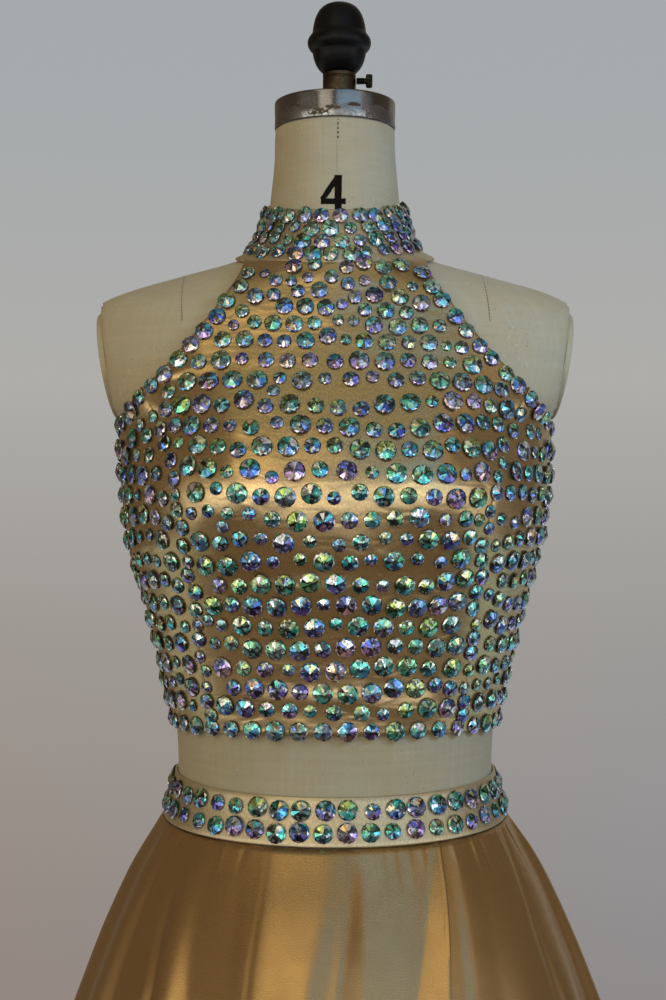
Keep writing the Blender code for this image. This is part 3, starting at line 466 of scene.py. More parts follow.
def make_group(name, inputs, build):
    """A node group with these inputs, None for a vector and a value for a number. Its
    outputs are what build makes from them, by name."""
    group = bpy.data.node_groups.new(name, "ShaderNodeTree")
    for label, value in inputs.items():
        kind = "NodeSocketVector" if value is None else "NodeSocketFloat"
        socket = group.interface.new_socket(label, in_out="INPUT", socket_type=kind)
        if value is not None:
            socket.default_value = value
    tree = Tree(group)
    made = build(tree, group.nodes.new("NodeGroupInput").outputs)
    for label in made:
        group.interface.new_socket(label, in_out="OUTPUT", socket_type="NodeSocketFloat")
    leave = group.nodes.new("NodeGroupOutput")
    for label, value in made.items():
        tree.join(value, leave.inputs[label])
    return group


def satin_threads(tree, given):
    """Fine floating threads: their height, and how they change the shade."""
    place = given["Place"]
    floats = tree.streaks(place, (1500.0, 520.0, 1.0), 2.0, 0.7)
    slubs = tree.streaks(place, (320.0, 60.0, 1.0), 3.0, 0.55)
    height = tree.math("ADD", tree.times(floats, 0.85), tree.times(slubs, 0.15))
    sparkle = tree.streaks(place, (860.0, 720.0, 1.0), 1.0, 0.6)
    cloud = tree.streaks(place, (14.0, 9.0, 1.0), 3.0, 0.6)
    return {"Height": tree.times(height, given["Grain"]),
            "Shade": tree.remap(height, 0.40, 0.62),
            "Cloud": tree.remap(cloud, 0.3, 0.7),
            "Sparkle": tree.remap(sparkle, 0.40, 0.66, 0.62, 1.68)}


def plain_weave(tree, given):
    """Crossing threads of a plain weave with thick and thin places."""
    size = tree.add("ShaderNodeCombineXYZ", {0: given["Threads"], 1: given["Threads"], 2: 1.0})
    place = tree.vector("MULTIPLY", given["Place"], size.outputs[0])
    warp = tree.streaks(place, (1.0, 0.09, 1.0), 2.0, 0.55)
    weft = tree.streaks(place, (0.09, 1.0, 1.0), 2.0, 0.55)
    level = tree.streaks(place, (0.012, 0.22, 1.0), 3.0, 0.6)
    upright = tree.streaks(place, (0.22, 0.012, 1.0), 3.0, 0.6)
    return {"Height": tree.remap(tree.math("ADD", warp, weft), 0.6, 1.4),
            "Slub": tree.remap(tree.math("ADD", level, upright), 0.7, 1.3)}


def age_marks(tree, given):
    """Soft blotches and small specks, as old surfaces gather them."""
    place = given["Place"]
    blotch = tree.noise(place, given["Blotches"], 5.0, 0.62, 0.6)
    speck = tree.noise(place, given["Specks"])
    dense = tree.math("ADD", speck, tree.times(tree.noise(place, 26.0), 0.35))
    return {"Blotches": tree.remap(blotch, 0.42, 0.72, soft=True),
            "Specks": tree.remap(dense, 0.86, 0.93)}


def brushed_lines(tree, given):
    """Fine turned or drawn lines and scratches in metal."""
    place = tree.vector("MULTIPLY", given["Place"], given["Lines"])
    return {"Height": tree.noise(place, 1.0, 3.0, 0.6),
            "Scratches": tree.remap(tree.noise(place, 0.35), 0.60, 0.72)}


SATIN_THREADS = make_group("satin_threads", {"Place": None, "Grain": 1.0}, satin_threads)
PLAIN_WEAVE = make_group("plain_weave", {"Place": None, "Threads": 1100.0}, plain_weave)
AGE_MARKS = make_group("age_marks", {"Place": None, "Blotches": 20.0, "Specks": 260.0}, age_marks)
BRUSHED = make_group("brushed", {"Place": None, "Lines": None}, brushed_lines)


def start_material(name, **constants):
    """The tree of a new material, its shader's constant sockets set by name."""
    material = bpy.data.materials.new(name)
    material.use_nodes = True
    tree = Tree(material.node_tree)
    tree.material = material
    tree.shader = material.node_tree.nodes["Principled BSDF"]
    for label, value in constants.items():
        tree.shader.inputs[label.replace("_", " ")].default_value = value
    return tree


def finish_material(tree, **outputs):
    """The tree's material, these outputs joined to its shader's sockets by name."""
    for label, output in outputs.items():
        tree.join(output, tree.shader.inputs[label.replace("_", " ")])
    return tree.material


def own_place(tree):
    return tree.add("ShaderNodeTexCoord").outputs["Object"]


def cloth_place(tree):
    return tree.add("ShaderNodeUVMap", uv_map="cloth").outputs[0]


def satin(name, body, lit_floats, grain, roughness, metallic=0.85, coat=0.5, glint=1.0, pucker=0.0):
    """Gold satin: long floats catch the light over a browner ground, their lighter colour partly
    the weave's own and partly a painted highlight. Glint tells how far the threads' painted
    sparkle reaches into the colour, and pucker how far the stones' stitches draw it together."""
    tree = start_material(name, Metallic=metallic, Coat_Weight=coat, Coat_Roughness=0.33,
                          Coat_IOR=2.0, Sheen_Weight=0.06, Sheen_Roughness=0.4,
                          Sheen_Tint=(1.0, 0.86, 0.62, 1.0))
    place = cloth_place(tree)
    threads = tree.group(SATIN_THREADS, Place=place, Grain=grain)
    cloud = threads["Cloud"]
    # The raised floats' colour: partly the weave's own, partly a painted highlight
    base = tree.mix(threads["Shade"], body, lit_floats)
    base = tree.stained(base, cloud, 0.35, [part * 0.86 for part in body])
    sparkle = tree.add("ShaderNodeCombineXYZ", dict.fromkeys(range(3), threads["Sparkle"]))
    # Painted sparkle of single threads, multiplied into the base colour
    base = tree.mix(glint, base, sparkle.outputs[0], "MULTIPLY")
    normal = tree.bump(threads["Height"], 0.06, 0.00035)
    if pucker:
        gathers = tree.streaks(place, (34.0, 105.0, 1.0), 1.0, 0.5, 0.8)
        normal = tree.bump(gathers, pucker, 0.0012, normal)
    return finish_material(tree, Base_Color=base, Normal=normal,
                           Roughness=tree.spread(cloud, roughness - 0.03, roughness + 0.04))


def crystal_material():
    """Cut glass with an iridescent coat: each facet keeps its own colour, with its painted
    glints, broken up by small inner reflections of other facets, painted as darker and paler cells."""
    tree = start_material("crystal_glass", Metallic=0.70, Coat_Weight=0.6, Coat_Roughness=0.02,
                          Coat_IOR=1.55)
    facet = tree.add("ShaderNodeAttribute", attribute_name="facet").outputs["Color"]
    cells = tree.add("ShaderNodeTexVoronoi", {"Vector": own_place(tree), "Scale": 640.0})
    cell = cells.outputs["Color"]
    dark, bright, rough = tree.add("ShaderNodeSeparateXYZ", {0: cell}).outputs
    # Painted inner reflections: darker and paler cells over each facet's colour
    deep = tree.mix(1.0, facet, (0.16, 0.20, 0.30), "MULTIPLY")
    shade = tree.mix(tree.remap(dark, 0.70, 0.80, 0.0, 0.55), facet, deep)
    pale = tree.mix(0.45, tree.mix(1.0, facet, (2.2, 2.2, 2.2), "MULTIPLY"), (0.80, 0.84, 0.80))
    shade = tree.mix(tree.remap(bright, 0.84, 0.88, 0.0, 0.80), shade, pale)
    tilt = tree.vector("SUBTRACT", cell, (0.5, 0.5, 0.5))
    tilt = tree.vector("MULTIPLY", tilt, (0.16, 0.16, 0.16))
    flat = tree.add("ShaderNodeNewGeometry").outputs["Normal"]
    return finish_material(tree, Base_Color=shade, Roughness=tree.spread(rough, 0.04, 0.14),
                           Normal=tree.vector("NORMALIZE", tree.vector("ADD", flat, tilt)))


def linen_material():
    """Old linen pasted over the form: greyed beige with stains and rubbed specks."""
    tree = start_material("form_linen", Sheen_Weight=0.15, Sheen_Roughness=0.6,
                          Specular_IOR_Level=0.35)
    place = own_place(tree)
    weave = tree.group(PLAIN_WEAVE, Place=cloth_place(tree), Threads=1100.0)
    large = tree.group(AGE_MARKS, Place=place, Blotches=13.0, Specks=240.0)
    small = tree.group(AGE_MARKS, Place=place, Blotches=55.0, Specks=600.0)
    base = tree.mix(weave["Slub"], (0.405, 0.370, 0.260), (0.462, 0.428, 0.315))
    base = tree.stained(base, large["Blotches"], 0.6, (0.410, 0.330, 0.195))
    base = tree.stained(base, small["Blotches"], 0.25, (0.365, 0.375, 0.310))
    base = tree.stained(base, large["Specks"], 0.5, (0.52, 0.49, 0.40))
    base = tree.stained(base, small["Specks"], 0.35, (0.10, 0.08, 0.05))
    return finish_material(tree, Base_Color=base, Normal=tree.bump(weave["Height"], 0.16, 0.0003),
                           Roughness=tree.spread(large["Blotches"], 0.86, 0.72))


# Brown stains and dark scuffs on the steel: middle, half sizes and share of cover
RING_STAINS = (
    ((-0.0110, -0.045, 1.5140), (0.0085, 0.02, 0.0026), 0.95),
    ((-0.0015, -0.045, 1.5165), (0.0060, 0.02, 0.0018), 0.95),
    ((0.0125, -0.043, 1.5186), (0.0055, 0.02, 0.0015), 1.0),
    ((0.0070, -0.045, 1.5140), (0.0080, 0.02, 0.0045), 0.35),
    ((0.0300, -0.033, 1.5130), (0.0110, 0.03, 0.0075), 0.80),
    ((-0.0330, -0.030, 1.5125), (0.0120, 0.03, 0.0080), 0.60),
)


def ring_steel_material():
    """Polished steel gone dull, with brown rust patches low on the band."""
    tree = start_material("neck_steel")
    place = own_place(tree)
    brushed = tree.group(BRUSHED, Place=place, Lines=(60.0, 60.0, 1400.0))
    marks = tree.group(AGE_MARKS, Place=place, Blotches=70.0, Specks=700.0)
    ragged = tree.noise(place, 520.0, 4.0, 0.68, 0.6)
    rust = tree.times(marks["Specks"], 0.8)
    for middle, reach, share in RING_STAINS:
        away = tree.stretched(tree.vector("SUBTRACT", place, middle), [1 / size for size in reach])
        near = tree.remap(tree.vector("LENGTH", away), 1.15, 0.35)
        near = tree.times(near, tree.remap(ragged, 0.34, 0.60))
        rust = tree.math("MAXIMUM", rust, tree.times(tree.remap(near, 0.12, 0.30), share))
    tall = tree.add("ShaderNodeSeparateXYZ", {0: place}).outputs[2]
    low = tree.remap(tall, RING_BOTTOM + 0.006, RING_BOTTOM)
    grime = tree.times(tree.times(tree.remap(ragged, 0.46, 0.60), low), 0.55)
    rust = tree.math("MAXIMUM", rust, grime)
    base = tree.mix(brushed["Scratches"], (0.24, 0.24, 0.25), (0.34, 0.34, 0.35))
    base = tree.stained(base, marks["Blotches"], 0.6, (0.150, 0.145, 0.140))
    base = tree.mix(rust, base, (0.045, 0.026, 0.012))
    height = tree.math("ADD", tree.times(brushed["Height"], 0.3), rust)
    return finish_material(tree, Base_Color=base, Roughness=tree.spread(rust, 0.12, 0.55),
                           Metallic=tree.spread(rust, 1.0, 0.25),
                           Normal=tree.bump(height, 0.25, 0.0002))


def metal(name, plain, worn, roughness, lines=(40.0, 40.0, 900.0)):
    """A metal with fine lines, worn brighter in patches and darker in specks."""
    tree = start_material(name, Metallic=1.0)
    place = own_place(tree)
    brushed = tree.group(BRUSHED, Place=place, Lines=lines)
    marks = tree.group(AGE_MARKS, Place=place, Blotches=60.0, Specks=500.0)
    base = tree.mix(marks["Blotches"], plain, worn)
    base = tree.stained(base, marks["Specks"], 0.7, [part * 0.3 for part in plain])
    return finish_material(tree, Base_Color=base,
                           Roughness=tree.spread(marks["Blotches"], roughness + 0.12, roughness),
                           Normal=tree.bump(brushed["Height"], 0.15, 0.0002))


def lacquer(name, plain, worn, roughness, coat=0.35, shine=0.5):
    """Paint, wax or enamel with a faint mottle and rubbed places."""
    tree = start_material(name, Coat_Weight=coat, Coat_Roughness=0.15, Specular_IOR_Level=shine)
    place = own_place(tree)
    marks = tree.group(AGE_MARKS, Place=place, Blotches=45.0, Specks=420.0)
    mottle = tree.noise(place, 300.0, 3.0, 0.6)
    base = tree.stained(plain, marks["Blotches"], 0.5, worn)
    base = tree.stained(base, marks["Specks"], 0.6, [min(1.0, part * 3 + 0.03) for part in worn])
    rough = tree.remap(mottle, 0.3, 0.7, roughness - 0.06, roughness + 0.08)
    return finish_material(tree, Base_Color=base, Roughness=rough,
                           Normal=tree.bump(mottle, 0.25, 0.0003))


def plywood_material():
    """Plywood: rings, open pores and the glued plies of its edge."""
    tree = start_material("underside_wood", Specular_IOR_Level=0.4)
    place = own_place(tree)
    rings = tree.streaks(place, (4.0, 60.0, 60.0), 4.0, 0.6, 0.8)
    pores = tree.streaks(place, (30.0, 700.0, 700.0), 2.0)
    plies = tree.add("ShaderNodeTexWave", {"Vector": place, "Scale": 190.0, "Distortion": 0.4},
                     bands_direction="Z").outputs[0]
    base = tree.mix(tree.remap(rings, 0.35, 0.65), (0.36, 0.22, 0.11), (0.52, 0.35, 0.19))
    base = tree.stained(base, tree.remap(pores, 0.55, 0.75), 0.5, (0.17, 0.09, 0.04))
    base = tree.stained(base, plies, 0.2, (0.22, 0.13, 0.07))
    return finish_material(tree, Base_Color=base, Roughness=tree.remap(pores, 0.3, 0.7, 0.5, 0.65),
                           Normal=tree.bump(tree.math("ADD", rings, pores), 0.2, 0.0003))


def thread_material(name, plain):
    """Twisted sewing thread or woven tape."""
    tree = start_material(name, Sheen_Weight=0.3, Sheen_Roughness=0.5)
    twist = tree.streaks(own_place(tree), (2600.0, 2600.0, 1500.0), 2.0, 0.6)
    base = tree.mix(tree.remap(twist, 0.35, 0.65), [part * 0.62 for part in plain], plain)
    return finish_material(tree, Base_Color=base, Roughness=tree.remap(twist, 0.3, 0.7, 0.6, 0.8),
                           Normal=tree.bump(twist, 0.4, 0.0003))


def ink_material():
    """Black paint brushed on linen, thin where the threads stand up."""
    tree = start_material("numeral_paint", Specular_IOR_Level=0.12)
    place = own_place(tree)
    thin = tree.noise(place, 520.0, 3.0, 0.65)
    rubbed = tree.noise(place, 90.0)
    wear = tree.times(tree.remap(thin, 0.55, 0.70), tree.remap(rubbed, 0.4, 0.7))
    base = tree.mix(wear, (0.004, 0.004, 0.004), (0.035, 0.03, 0.022))
    return finish_material(tree, Base_Color=base, Roughness=tree.remap(thin, 0.3, 0.7, 0.7, 0.9),
                           Normal=tree.bump(thin, 0.3, 0.0002))


def make_materials():
    """Each material by the name that the pieces use for it."""
    return {
        "satin": satin("gold_satin", (0.45, 0.300, 0.128), (0.55, 0.390, 0.185), grain=0.4,
                       roughness=0.25, glint=0.35, pucker=0.45),
        "skirt": satin("gold_satin_skirt", (0.31, 0.178, 0.062), (0.62, 0.380, 0.150),
                       grain=1.0, roughness=0.31, coat=0.42),
        # Collar, band and buttons: the same gold satin painted lighter and paler, standing in for
        # the light their upright faces catch
        "band": satin("gold_satin_faced", (0.475, 0.385, 0.230), (0.50, 0.405, 0.248),
                      grain=0.2, roughness=0.38, metallic=0.55, coat=0.3, glint=0.25),
        "crystal": crystal_material(),
        "linen": linen_material(),
        "ring": ring_steel_material(),
        "brass": metal("dark_brass", (0.038, 0.030, 0.020), (0.120, 0.092, 0.048), 0.34),
        "knob": lacquer("black_knob", (0.003, 0.003, 0.004), (0.007, 0.007, 0.007), 0.42,
                        coat=0.02, shine=0.14),
        "screw": metal("screw_steel", (0.022, 0.022, 0.020), (0.060, 0.058, 0.045), 0.42),
        "zip_tape": thread_material("zip_tape", (0.36, 0.23, 0.095)),
        "zip_metal": metal("zip_metal", (0.55, 0.43, 0.22), (0.72, 0.60, 0.36), 0.26),
        "linen_thread": thread_material("linen_thread", (0.050, 0.045, 0.035)),
        "wood": plywood_material(),
        "iron": lacquer("stand_iron", (0.014, 0.014, 0.015), (0.035, 0.034, 0.033), 0.50),
        "pole": metal("pole_steel", (0.50, 0.50, 0.50), (0.62, 0.62, 0.61), 0.20,
                      lines=(900.0, 900.0, 20.0)),
        "numeral": ink_material(),
    }


# Meshes
def finish_piece(bm, name, material, node=None, body=FORM_BODY, sharp_angle=None,
                 smooth=True):
    """Turn a bmesh into a piece that rides on a body and stands for its node."""
    mesh = bpy.data.meshes.new(name)
    bm.to_mesh(mesh)
    bm.free()
    mesh.materials.append(material)
    if smooth:
        mesh.shade_smooth()
    if sharp_angle:
        mesh.set_sharp_from_angle(angle=math.radians(sharp_angle))
    piece = bpy.data.objects.new(name, mesh)
    bpy.context.collection.objects.link(piece)
    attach(piece, body)
    if node:
        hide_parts(node)
    return piece


def grid_normals(points):
    """Unit normals over rows and columns of points, seen from outside."""
    across = np.gradient(points, axis=1)
    up = np.gradient(points, axis=0)
    normal = np.cross(across, up)
    return normal / np.maximum(np.linalg.norm(normal, axis=2, keepdims=True), 1e-12)


def oriented(points, side):
    """The rows and columns turned so that the named side is the last row."""
    if side in ("left", "right"):
        points = points.transpose(1, 0, 2)
    return points[::-1] if side in ("left", "bottom") else points


def restored(points, side):
    """The rows and columns turned back again."""
    points = points[::-1] if side in ("left", "bottom") else points
    return points.transpose(1, 0, 2) if side in ("left", "right") else points


def turn_under(points, side, radius, depth=0.0):
    """Add rows that roll one edge of the cloth under itself."""
    normals = oriented(grid_normals(points), side)[-1]
    turned = oriented(points, side)
    edge = turned[-1]
    ahead = edge - turned[-2]
    ahead = ahead / np.maximum(np.linalg.norm(ahead, axis=1, keepdims=True), 1e-12)
    added = []
    for step in range(1, ROLL_STEPS + 1):
        turn = math.pi * step / ROLL_STEPS
        added.append(edge + ahead * radius * math.sin(turn)
                     - normals * radius * (1 - math.cos(turn)))
    if depth:
        added.append(added[-1] - ahead * depth)
    return restored(np.concatenate((turned, np.array(added)), axis=0), side)


def cloth_grid(points, size, closed=False):
    """A sheet over rows of points, its threads following the rows. A closed one comes
    round to its first column again."""
    rows, stops = points.shape[:2]
    columns = stops if closed else stops - 1
    bm = bmesh.new()
    bm.loops.layers.uv.new("cloth")
    bmesh.ops.create_grid(bm, x_segments=columns, y_segments=rows - 1, size=1.0, calc_uvs=True)
    threads = bm.loops.layers.uv["cloth"]
    for vert in bm.verts:
        column = round((vert.co.x + 1) / 2 * columns)
        row = round((vert.co.y + 1) / 2 * (rows - 1))
        vert.co = points[row, column % stops]
    for face in bm.faces:
        for loop in face.loops:
            loop[threads].uv = (loop[threads].uv.x * size[0], loop[threads].uv.y * size[1])
    return bm


def lay_threads(bm, first, second):
    """Straight threads over a shape, along two of its axes."""
    threads = bm.loops.layers.uv.new("cloth")
    for face in bm.faces:
        for loop in face.loops:
            loop[threads].uv = (loop.vert.co[first], loop.vert.co[second])


def shell(name, points, material, node, size):
    """A thin wall of satin over rows of points."""
    piece = finish_piece(cloth_grid(points, size), name, material, node)
    wall = piece.modifiers.new("wall", "SOLIDIFY")
    wall.thickness = SATIN_THICKNESS
    wall.offset = -1.0
    wall.use_even_offset = False
    return piece


def wrapped(points, name, material, node, size):
    """A closed tube over rows of points, with flat fans over its two ends."""
    bm = cloth_grid(points, size, closed=True)
    bmesh.ops.remove_doubles(bm, verts=bm.verts[:], dist=MERGE_DISTANCE)
    bmesh.ops.holes_fill(bm, edges=[edge for edge in bm.edges if edge.is_boundary], sides=0)
    bmesh.ops.poke(bm, faces=[face for face in bm.faces if len(face.verts) > 4])
    bmesh.ops.recalc_face_normals(bm, faces=bm.faces[:])
    finish_piece(bm, name, material, node, sharp_angle=50)


def rippled(points, amount, size, seed):
    """Points moved along their normals by soft, uneven waves."""
    normals = grid_normals(points)
    moved = points.copy()
    shift = Vector((seed * 7.3, seed * 3.1, seed * 5.7))
    for spot in np.ndindex(points.shape[:2]):
        moved[spot] += normals[spot] * amount * noise.noise(Vector(points[spot]) / size + shift)
    return moved


def solid_of_turn(section, sides, closed=False):
    """A solid turned about the vertical axis, from (radius, height) pairs. A closed
    section is joined to a ring."""
    bm = bmesh.new()
    verts = [bm.verts.new((radius, 0, height)) for radius, height in section]
    ends = verts[1:] + verts[:1] if closed else verts[1:]
    edges = [bm.edges.new(pair) for pair in zip(verts, ends)]
    bmesh.ops.spin(bm, geom=verts + edges, cent=(0, 0, 0), axis=(0, 0, 1),
                   angle=2 * math.pi, steps=sides, use_merge=True)
    bmesh.ops.remove_doubles(bm, verts=bm.verts[:], dist=MERGE_DISTANCE)
    bmesh.ops.recalc_face_normals(bm, faces=bm.faces[:])
    return bm


def turned_piece(name, profile, sides, material, node, sharp_angle, body=FORM_BODY,
                 aside=0.0):
    """A piece turned about a vertical axis, some way aside from the middle."""
    bm = solid_of_turn(profile, sides)
    bmesh.ops.translate(bm, verts=bm.verts[:], vec=(aside, 0, 0))
    finish_piece(bm, name, material, node, body, sharp_angle)


def turn_and_move(bm, axis, angle, place):
    """Turn a whole shape about the origin, then move it."""
    bmesh.ops.rotate(bm, cent=(0, 0, 0), matrix=Matrix.Rotation(angle, 3, axis),
                     verts=bm.verts[:])
    bmesh.ops.translate(bm, vec=place, verts=bm.verts[:])


def ease_edges(bm, edges, offset, segments):
    """Round edges off."""
    bmesh.ops.bevel(bm, geom=edges, offset=offset, segments=segments, affect="EDGES",
                    profile=0.5, material=-1)


# The crop top
def creases(angle, height, rows):
    """Soft ridges and troughs: angle and height of the middle, how long and how wide,
    how far it leans from level, and how far it stands out."""
    out = np.zeros(np.broadcast(angle, height).shape)
    for middle, level, length, width, lean, rise in rows:
        across = (angle - math.radians(middle)) * CHEST_RADIUS
        up = height - level
        lean = math.radians(lean)
        along = across * math.cos(lean) + up * math.sin(lean)
        beside = up * math.cos(lean) - across * math.sin(lean)
        out = out + rise * MM * np.exp(-(along / length) ** 2 - (beside / width) ** 2)
    return out


# Creases of the top: degrees round the body, height, length, width, lean and mm out
TOP_CREASES = (
    (-36.0, 1.3370, 0.014, 0.0035, 14.0, 1.3),
    (-36.0, 1.3300, 0.016, 0.0040, 10.0, -0.7),
    (-24.0, 1.2150, 0.030, 0.0050, 6.0, 0.8),
    (12.0, 1.2190, 0.034, 0.0050, -4.0, 0.7),
    (34.0, 1.2130, 0.026, 0.0045, 8.0, 0.8),
    (-8.0, 1.1980, 0.030, 0.0050, 4.0, 0.6),
    (-30.0, 1.1880, 0.026, 0.0050, -7.0, 0.7),
    (22.0, 1.1900, 0.030, 0.0055, 5.0, 0.6),
    (-14.0, 1.1280, 0.045, 0.0060, 3.0, 0.7),
    (16.0, 1.1240, 0.050, 0.0060, -5.0, 0.9),
    (42.0, 1.1330, 0.026, 0.0050, 9.0, 0.8),
    (-46.0, 1.1500, 0.020, 0.0050, -12.0, 0.7),
    (-9.0, 1.4000, 0.020, 0.0040, 12.0, 0.8),
    (11.0, 1.3960, 0.022, 0.0040, -10.0, 0.7),
    (70.0, 1.2300, 0.020, 0.0060, 14.0, 0.8),
    (-72.0, 1.2240, 0.022, 0.0060, -12.0, 0.9),
    (74.0, 1.1600, 0.020, 0.0055, -10.0, 0.7),
    (-70.0, 1.1640, 0.020, 0.0055, 12.0, 0.7),
    (118.0, 1.2200, 0.034, 0.0065, 10.0, 0.8),
    (-121.0, 1.2150, 0.036, 0.0065, -9.0, 0.9),
    (140.0, 1.1600, 0.030, 0.0060, 5.0, 0.7),
    (-143.0, 1.1650, 0.032, 0.0060, -6.0, 0.8),
    (128.0, 1.1220, 0.030, 0.0060, -4.0, 0.7),
    (-130.0, 1.1200, 0.028, 0.0060, 5.0, 0.7),
)


def top_points(angle, height):
    """The top's outer face with its creases."""
    out = TOP_OUT + top_ease(height) + creases(angle, height, TOP_CREASES)
    return moved_out(cloth_surface, angle, height, out)


def top_front_places(columns, lower, upper):
    """Angles and heights over the middle front, from the hem to the collar."""
    across = np.linspace(-1, 1, columns + 1)[None, :]
    low_share = np.linspace(0, 1, lower + 1)[:, None]
    height = blend(HEM_SIDE, SEAM_MEETS_ARMHOLE, low_share) + across * 0
    for _ in range(6):
        angle = across * princess_angle(height)
        height = blend(hem_height(angle), SEAM_MEETS_ARMHOLE, low_share)
    high_share = np.linspace(0, 1, upper + 1)[1:, None]
    above = blend(SEAM_MEETS_ARMHOLE, COLLAR_BASE, high_share) + across * 0
    for _ in range(6):
        turn = across * armhole_angle(above)
        above = blend(SEAM_MEETS_ARMHOLE, collar_base_height(turn) - SEAM_GAP, high_share)
    return np.concatenate((angle, turn)), np.concatenate((height, above))


def armhole_height(share):
    """Where the armhole edge crosses a line at this share from princess to side seam."""
    low, high = UNDERARM, SEAM_MEETS_ARMHOLE
    for _ in range(40):
        middle = (low + high) / 2
        seam = float(princess_angle(middle))
        if float(armhole_angle(middle)) > seam + (math.pi / 2 - seam) * share:
            low = middle
        else:
            high = middle
    return (low + high) / 2


def top_side_places(columns, rows):
    """Angles and heights over a side front, from the princess seam to the side seam."""
    share = np.linspace(0, 1, columns + 1)[None, :]
    tops = np.array([armhole_height(part) for part in share[0]])
    tops[0], tops[-1] = SEAM_MEETS_ARMHOLE, UNDERARM
    up = np.linspace(0, 1, rows + 1)[:, None]
    angle = math.pi / 2 * share + up * 0
    for _ in range(6):
        height = blend(hem_height(angle), tops[None, :], up)
        angle = blend(princess_angle(height), math.pi / 2, share)
    return angle, height


def top_back_places(columns, rows):
    """Angles and heights over a back, from the side seam to the zip."""
    share = np.linspace(0, 1, columns + 1)[None, :]
    last = math.pi - (ZIP_HALF_WIDTH + SEAM_GAP) / BACK_DEPTH
    up = np.linspace(0, 1, rows + 1)[:, None]
    angle = blend(math.pi / 2, last, share) + up * 0
    return angle, blend(hem_height(angle), back_top_height(angle), up)


def facing_away(places, side):
    """The angles and heights of a right-hand panel, or mirrored for a left-hand one."""
    angle, height = places
    return (-angle[:, ::-1], height[:, ::-1]) if side < 0 else places


def cloth_panel(name, node, places, turns, size, seed, looks):
    """One panel of the top: its left, right, lower and upper edges turn under by a radius
    and a depth, and it ripples a little."""
    points = rippled(top_points(*places), 0.5 * MM, 0.016, seed)
    for side, (radius, depth) in zip(SIDES, turns):
        points = turn_under(points, side, radius, depth)
    piece = shell(name, points, looks["satin"], node, size)


def crop_top(looks):
    """Five panels, joined by princess and side seams and closed at the centre back."""
    edge, seam = (0.9 * MM, 3 * MM), (SEAM_ROLL, 0.0)
    cloth_panel("middle_front", "top_front", top_front_places(96, 84, 42),
                (edge, edge, edge, seam), (0.275, 0.345), 1, looks)
    turns = (seam, seam, edge, edge)
    for word, side in (("left", -1), ("right", 1)):
        cloth_panel("side_front_" + word, "top_side_" + word,
                    facing_away(top_side_places(24, 70), side), turns, (0.135, 0.235),
                    2 + side, looks)
        cloth_panel("back_" + word, "top_back_" + word,
                    facing_away(top_back_places(48, 64), side), turns, (0.215, 0.205),
                    5 + side, looks)


def faced_strip(name, node, points, ripple, seed, radius, size, looks):
    """A faced strip of satin, painted lighter, that goes round the body, all its edges turned under.
    """
    points = rippled(points, *ripple, seed)
    for side in SIDES:
        points = turn_under(points, side, radius, 2 * MM)
    piece = shell(name, points, looks["band"], node, size)


def stand_collar(looks):
    """The stand collar, its ends meeting at the centre back."""
    end = math.pi - 0.0003 / COLLAR_RADIUS
    points = collar_outside(np.linspace(-end, end, 161)[None, :], np.linspace(0, 1, 15)[:, None])
    faced_strip("stand_collar", "collar", points, (0.5 * MM, 0.012), 9, 0.8 * MM, (0.36, 0.036),
                looks)


def waist_band(looks):
    """The contoured band on the skirt's upper edge."""
    end = math.pi - (ZIP_HALF_WIDTH + SEAM_GAP) / WAIST_DEPTH
    points = band_outside(np.linspace(-end, end, 241)[None, :], np.linspace(0, 1, 13)[:, None])
    faced_strip("faced_waistband", "waistband", points, (0.35 * MM, 0.014), 11, 0.9 * MM,
                (0.66, 0.031), looks)


# The skirt
# Ridges (out above 0) and troughs near the band: the angle in degrees at each of the
# downs below, the half widths to the left and right in degrees, and mm out at each down
RIDGE_DOWNS = (0.0, 0.03, 0.06, 0.09)
FRONT_RIDGES = (
    ((-45.5, -44.6, -42.8, -40.2), 5.5, 8.2, (0.0, 1.6, 4.6, 7.6)),
    ((-51.0, -49.5, -47.2, -44.8), 4.0, 4.0, (0.0, -0.3, -0.8, -1.2)),
    ((-53.0, -51.5, -50.0, -47.3), 3.0, 3.0, (0.0, 0.0, 0.3, 0.8)),
    ((-26.0, -24.0, -21.8, -21.0), 2.6, 2.6, (0.1, 0.25, 0.30, 0.20)),
    ((-19.8, -18.6, -18.4, -18.0), 7.0, 7.0, (0.4, 0.9, 1.1, 1.1)),
    ((-20.6, -19.3, -19.1, -18.7), 0.9, 0.7, (-0.15, -0.30, -0.38, -0.40)),
    ((-2.5, -4.2, -6.5, -8.6), 26.0, 6.6, (0.5, 1.5, 2.4, 3.0)),
    ((2.6, 1.9, 0.9, -0.3), 60.0, 6.8, (1.5, 5.2, 8.6, 10.6)),
    ((40.0, 37.4, 35.2, 33.4), 4.4, 8.0, (0.5, 1.1, 1.6, 2.0)),
    ((68.5, 63.6, 61.0, 60.8), 2.8, 2.8, (-0.4, -0.6, -0.8, -0.9)),
    ((76.0, 72.0, 70.0, 70.0), 10.0, 10.0, (0.2, 0.5, 0.8, 1.1)),
    ((-88.0, -87.0, -86.0, -86.0), 8.0, 8.0, (0.1, 0.15, 0.2, 0.2)),
    ((-78.0, -77.0, -76.5, -76.0), 8.0, 8.0, (-0.1, -0.15, -0.2, -0.2)),
    ((-64.0, -63.0, -62.5, -62.0), 3.2, 3.2, (0.2, 0.3, 0.3, 0.3)),
)
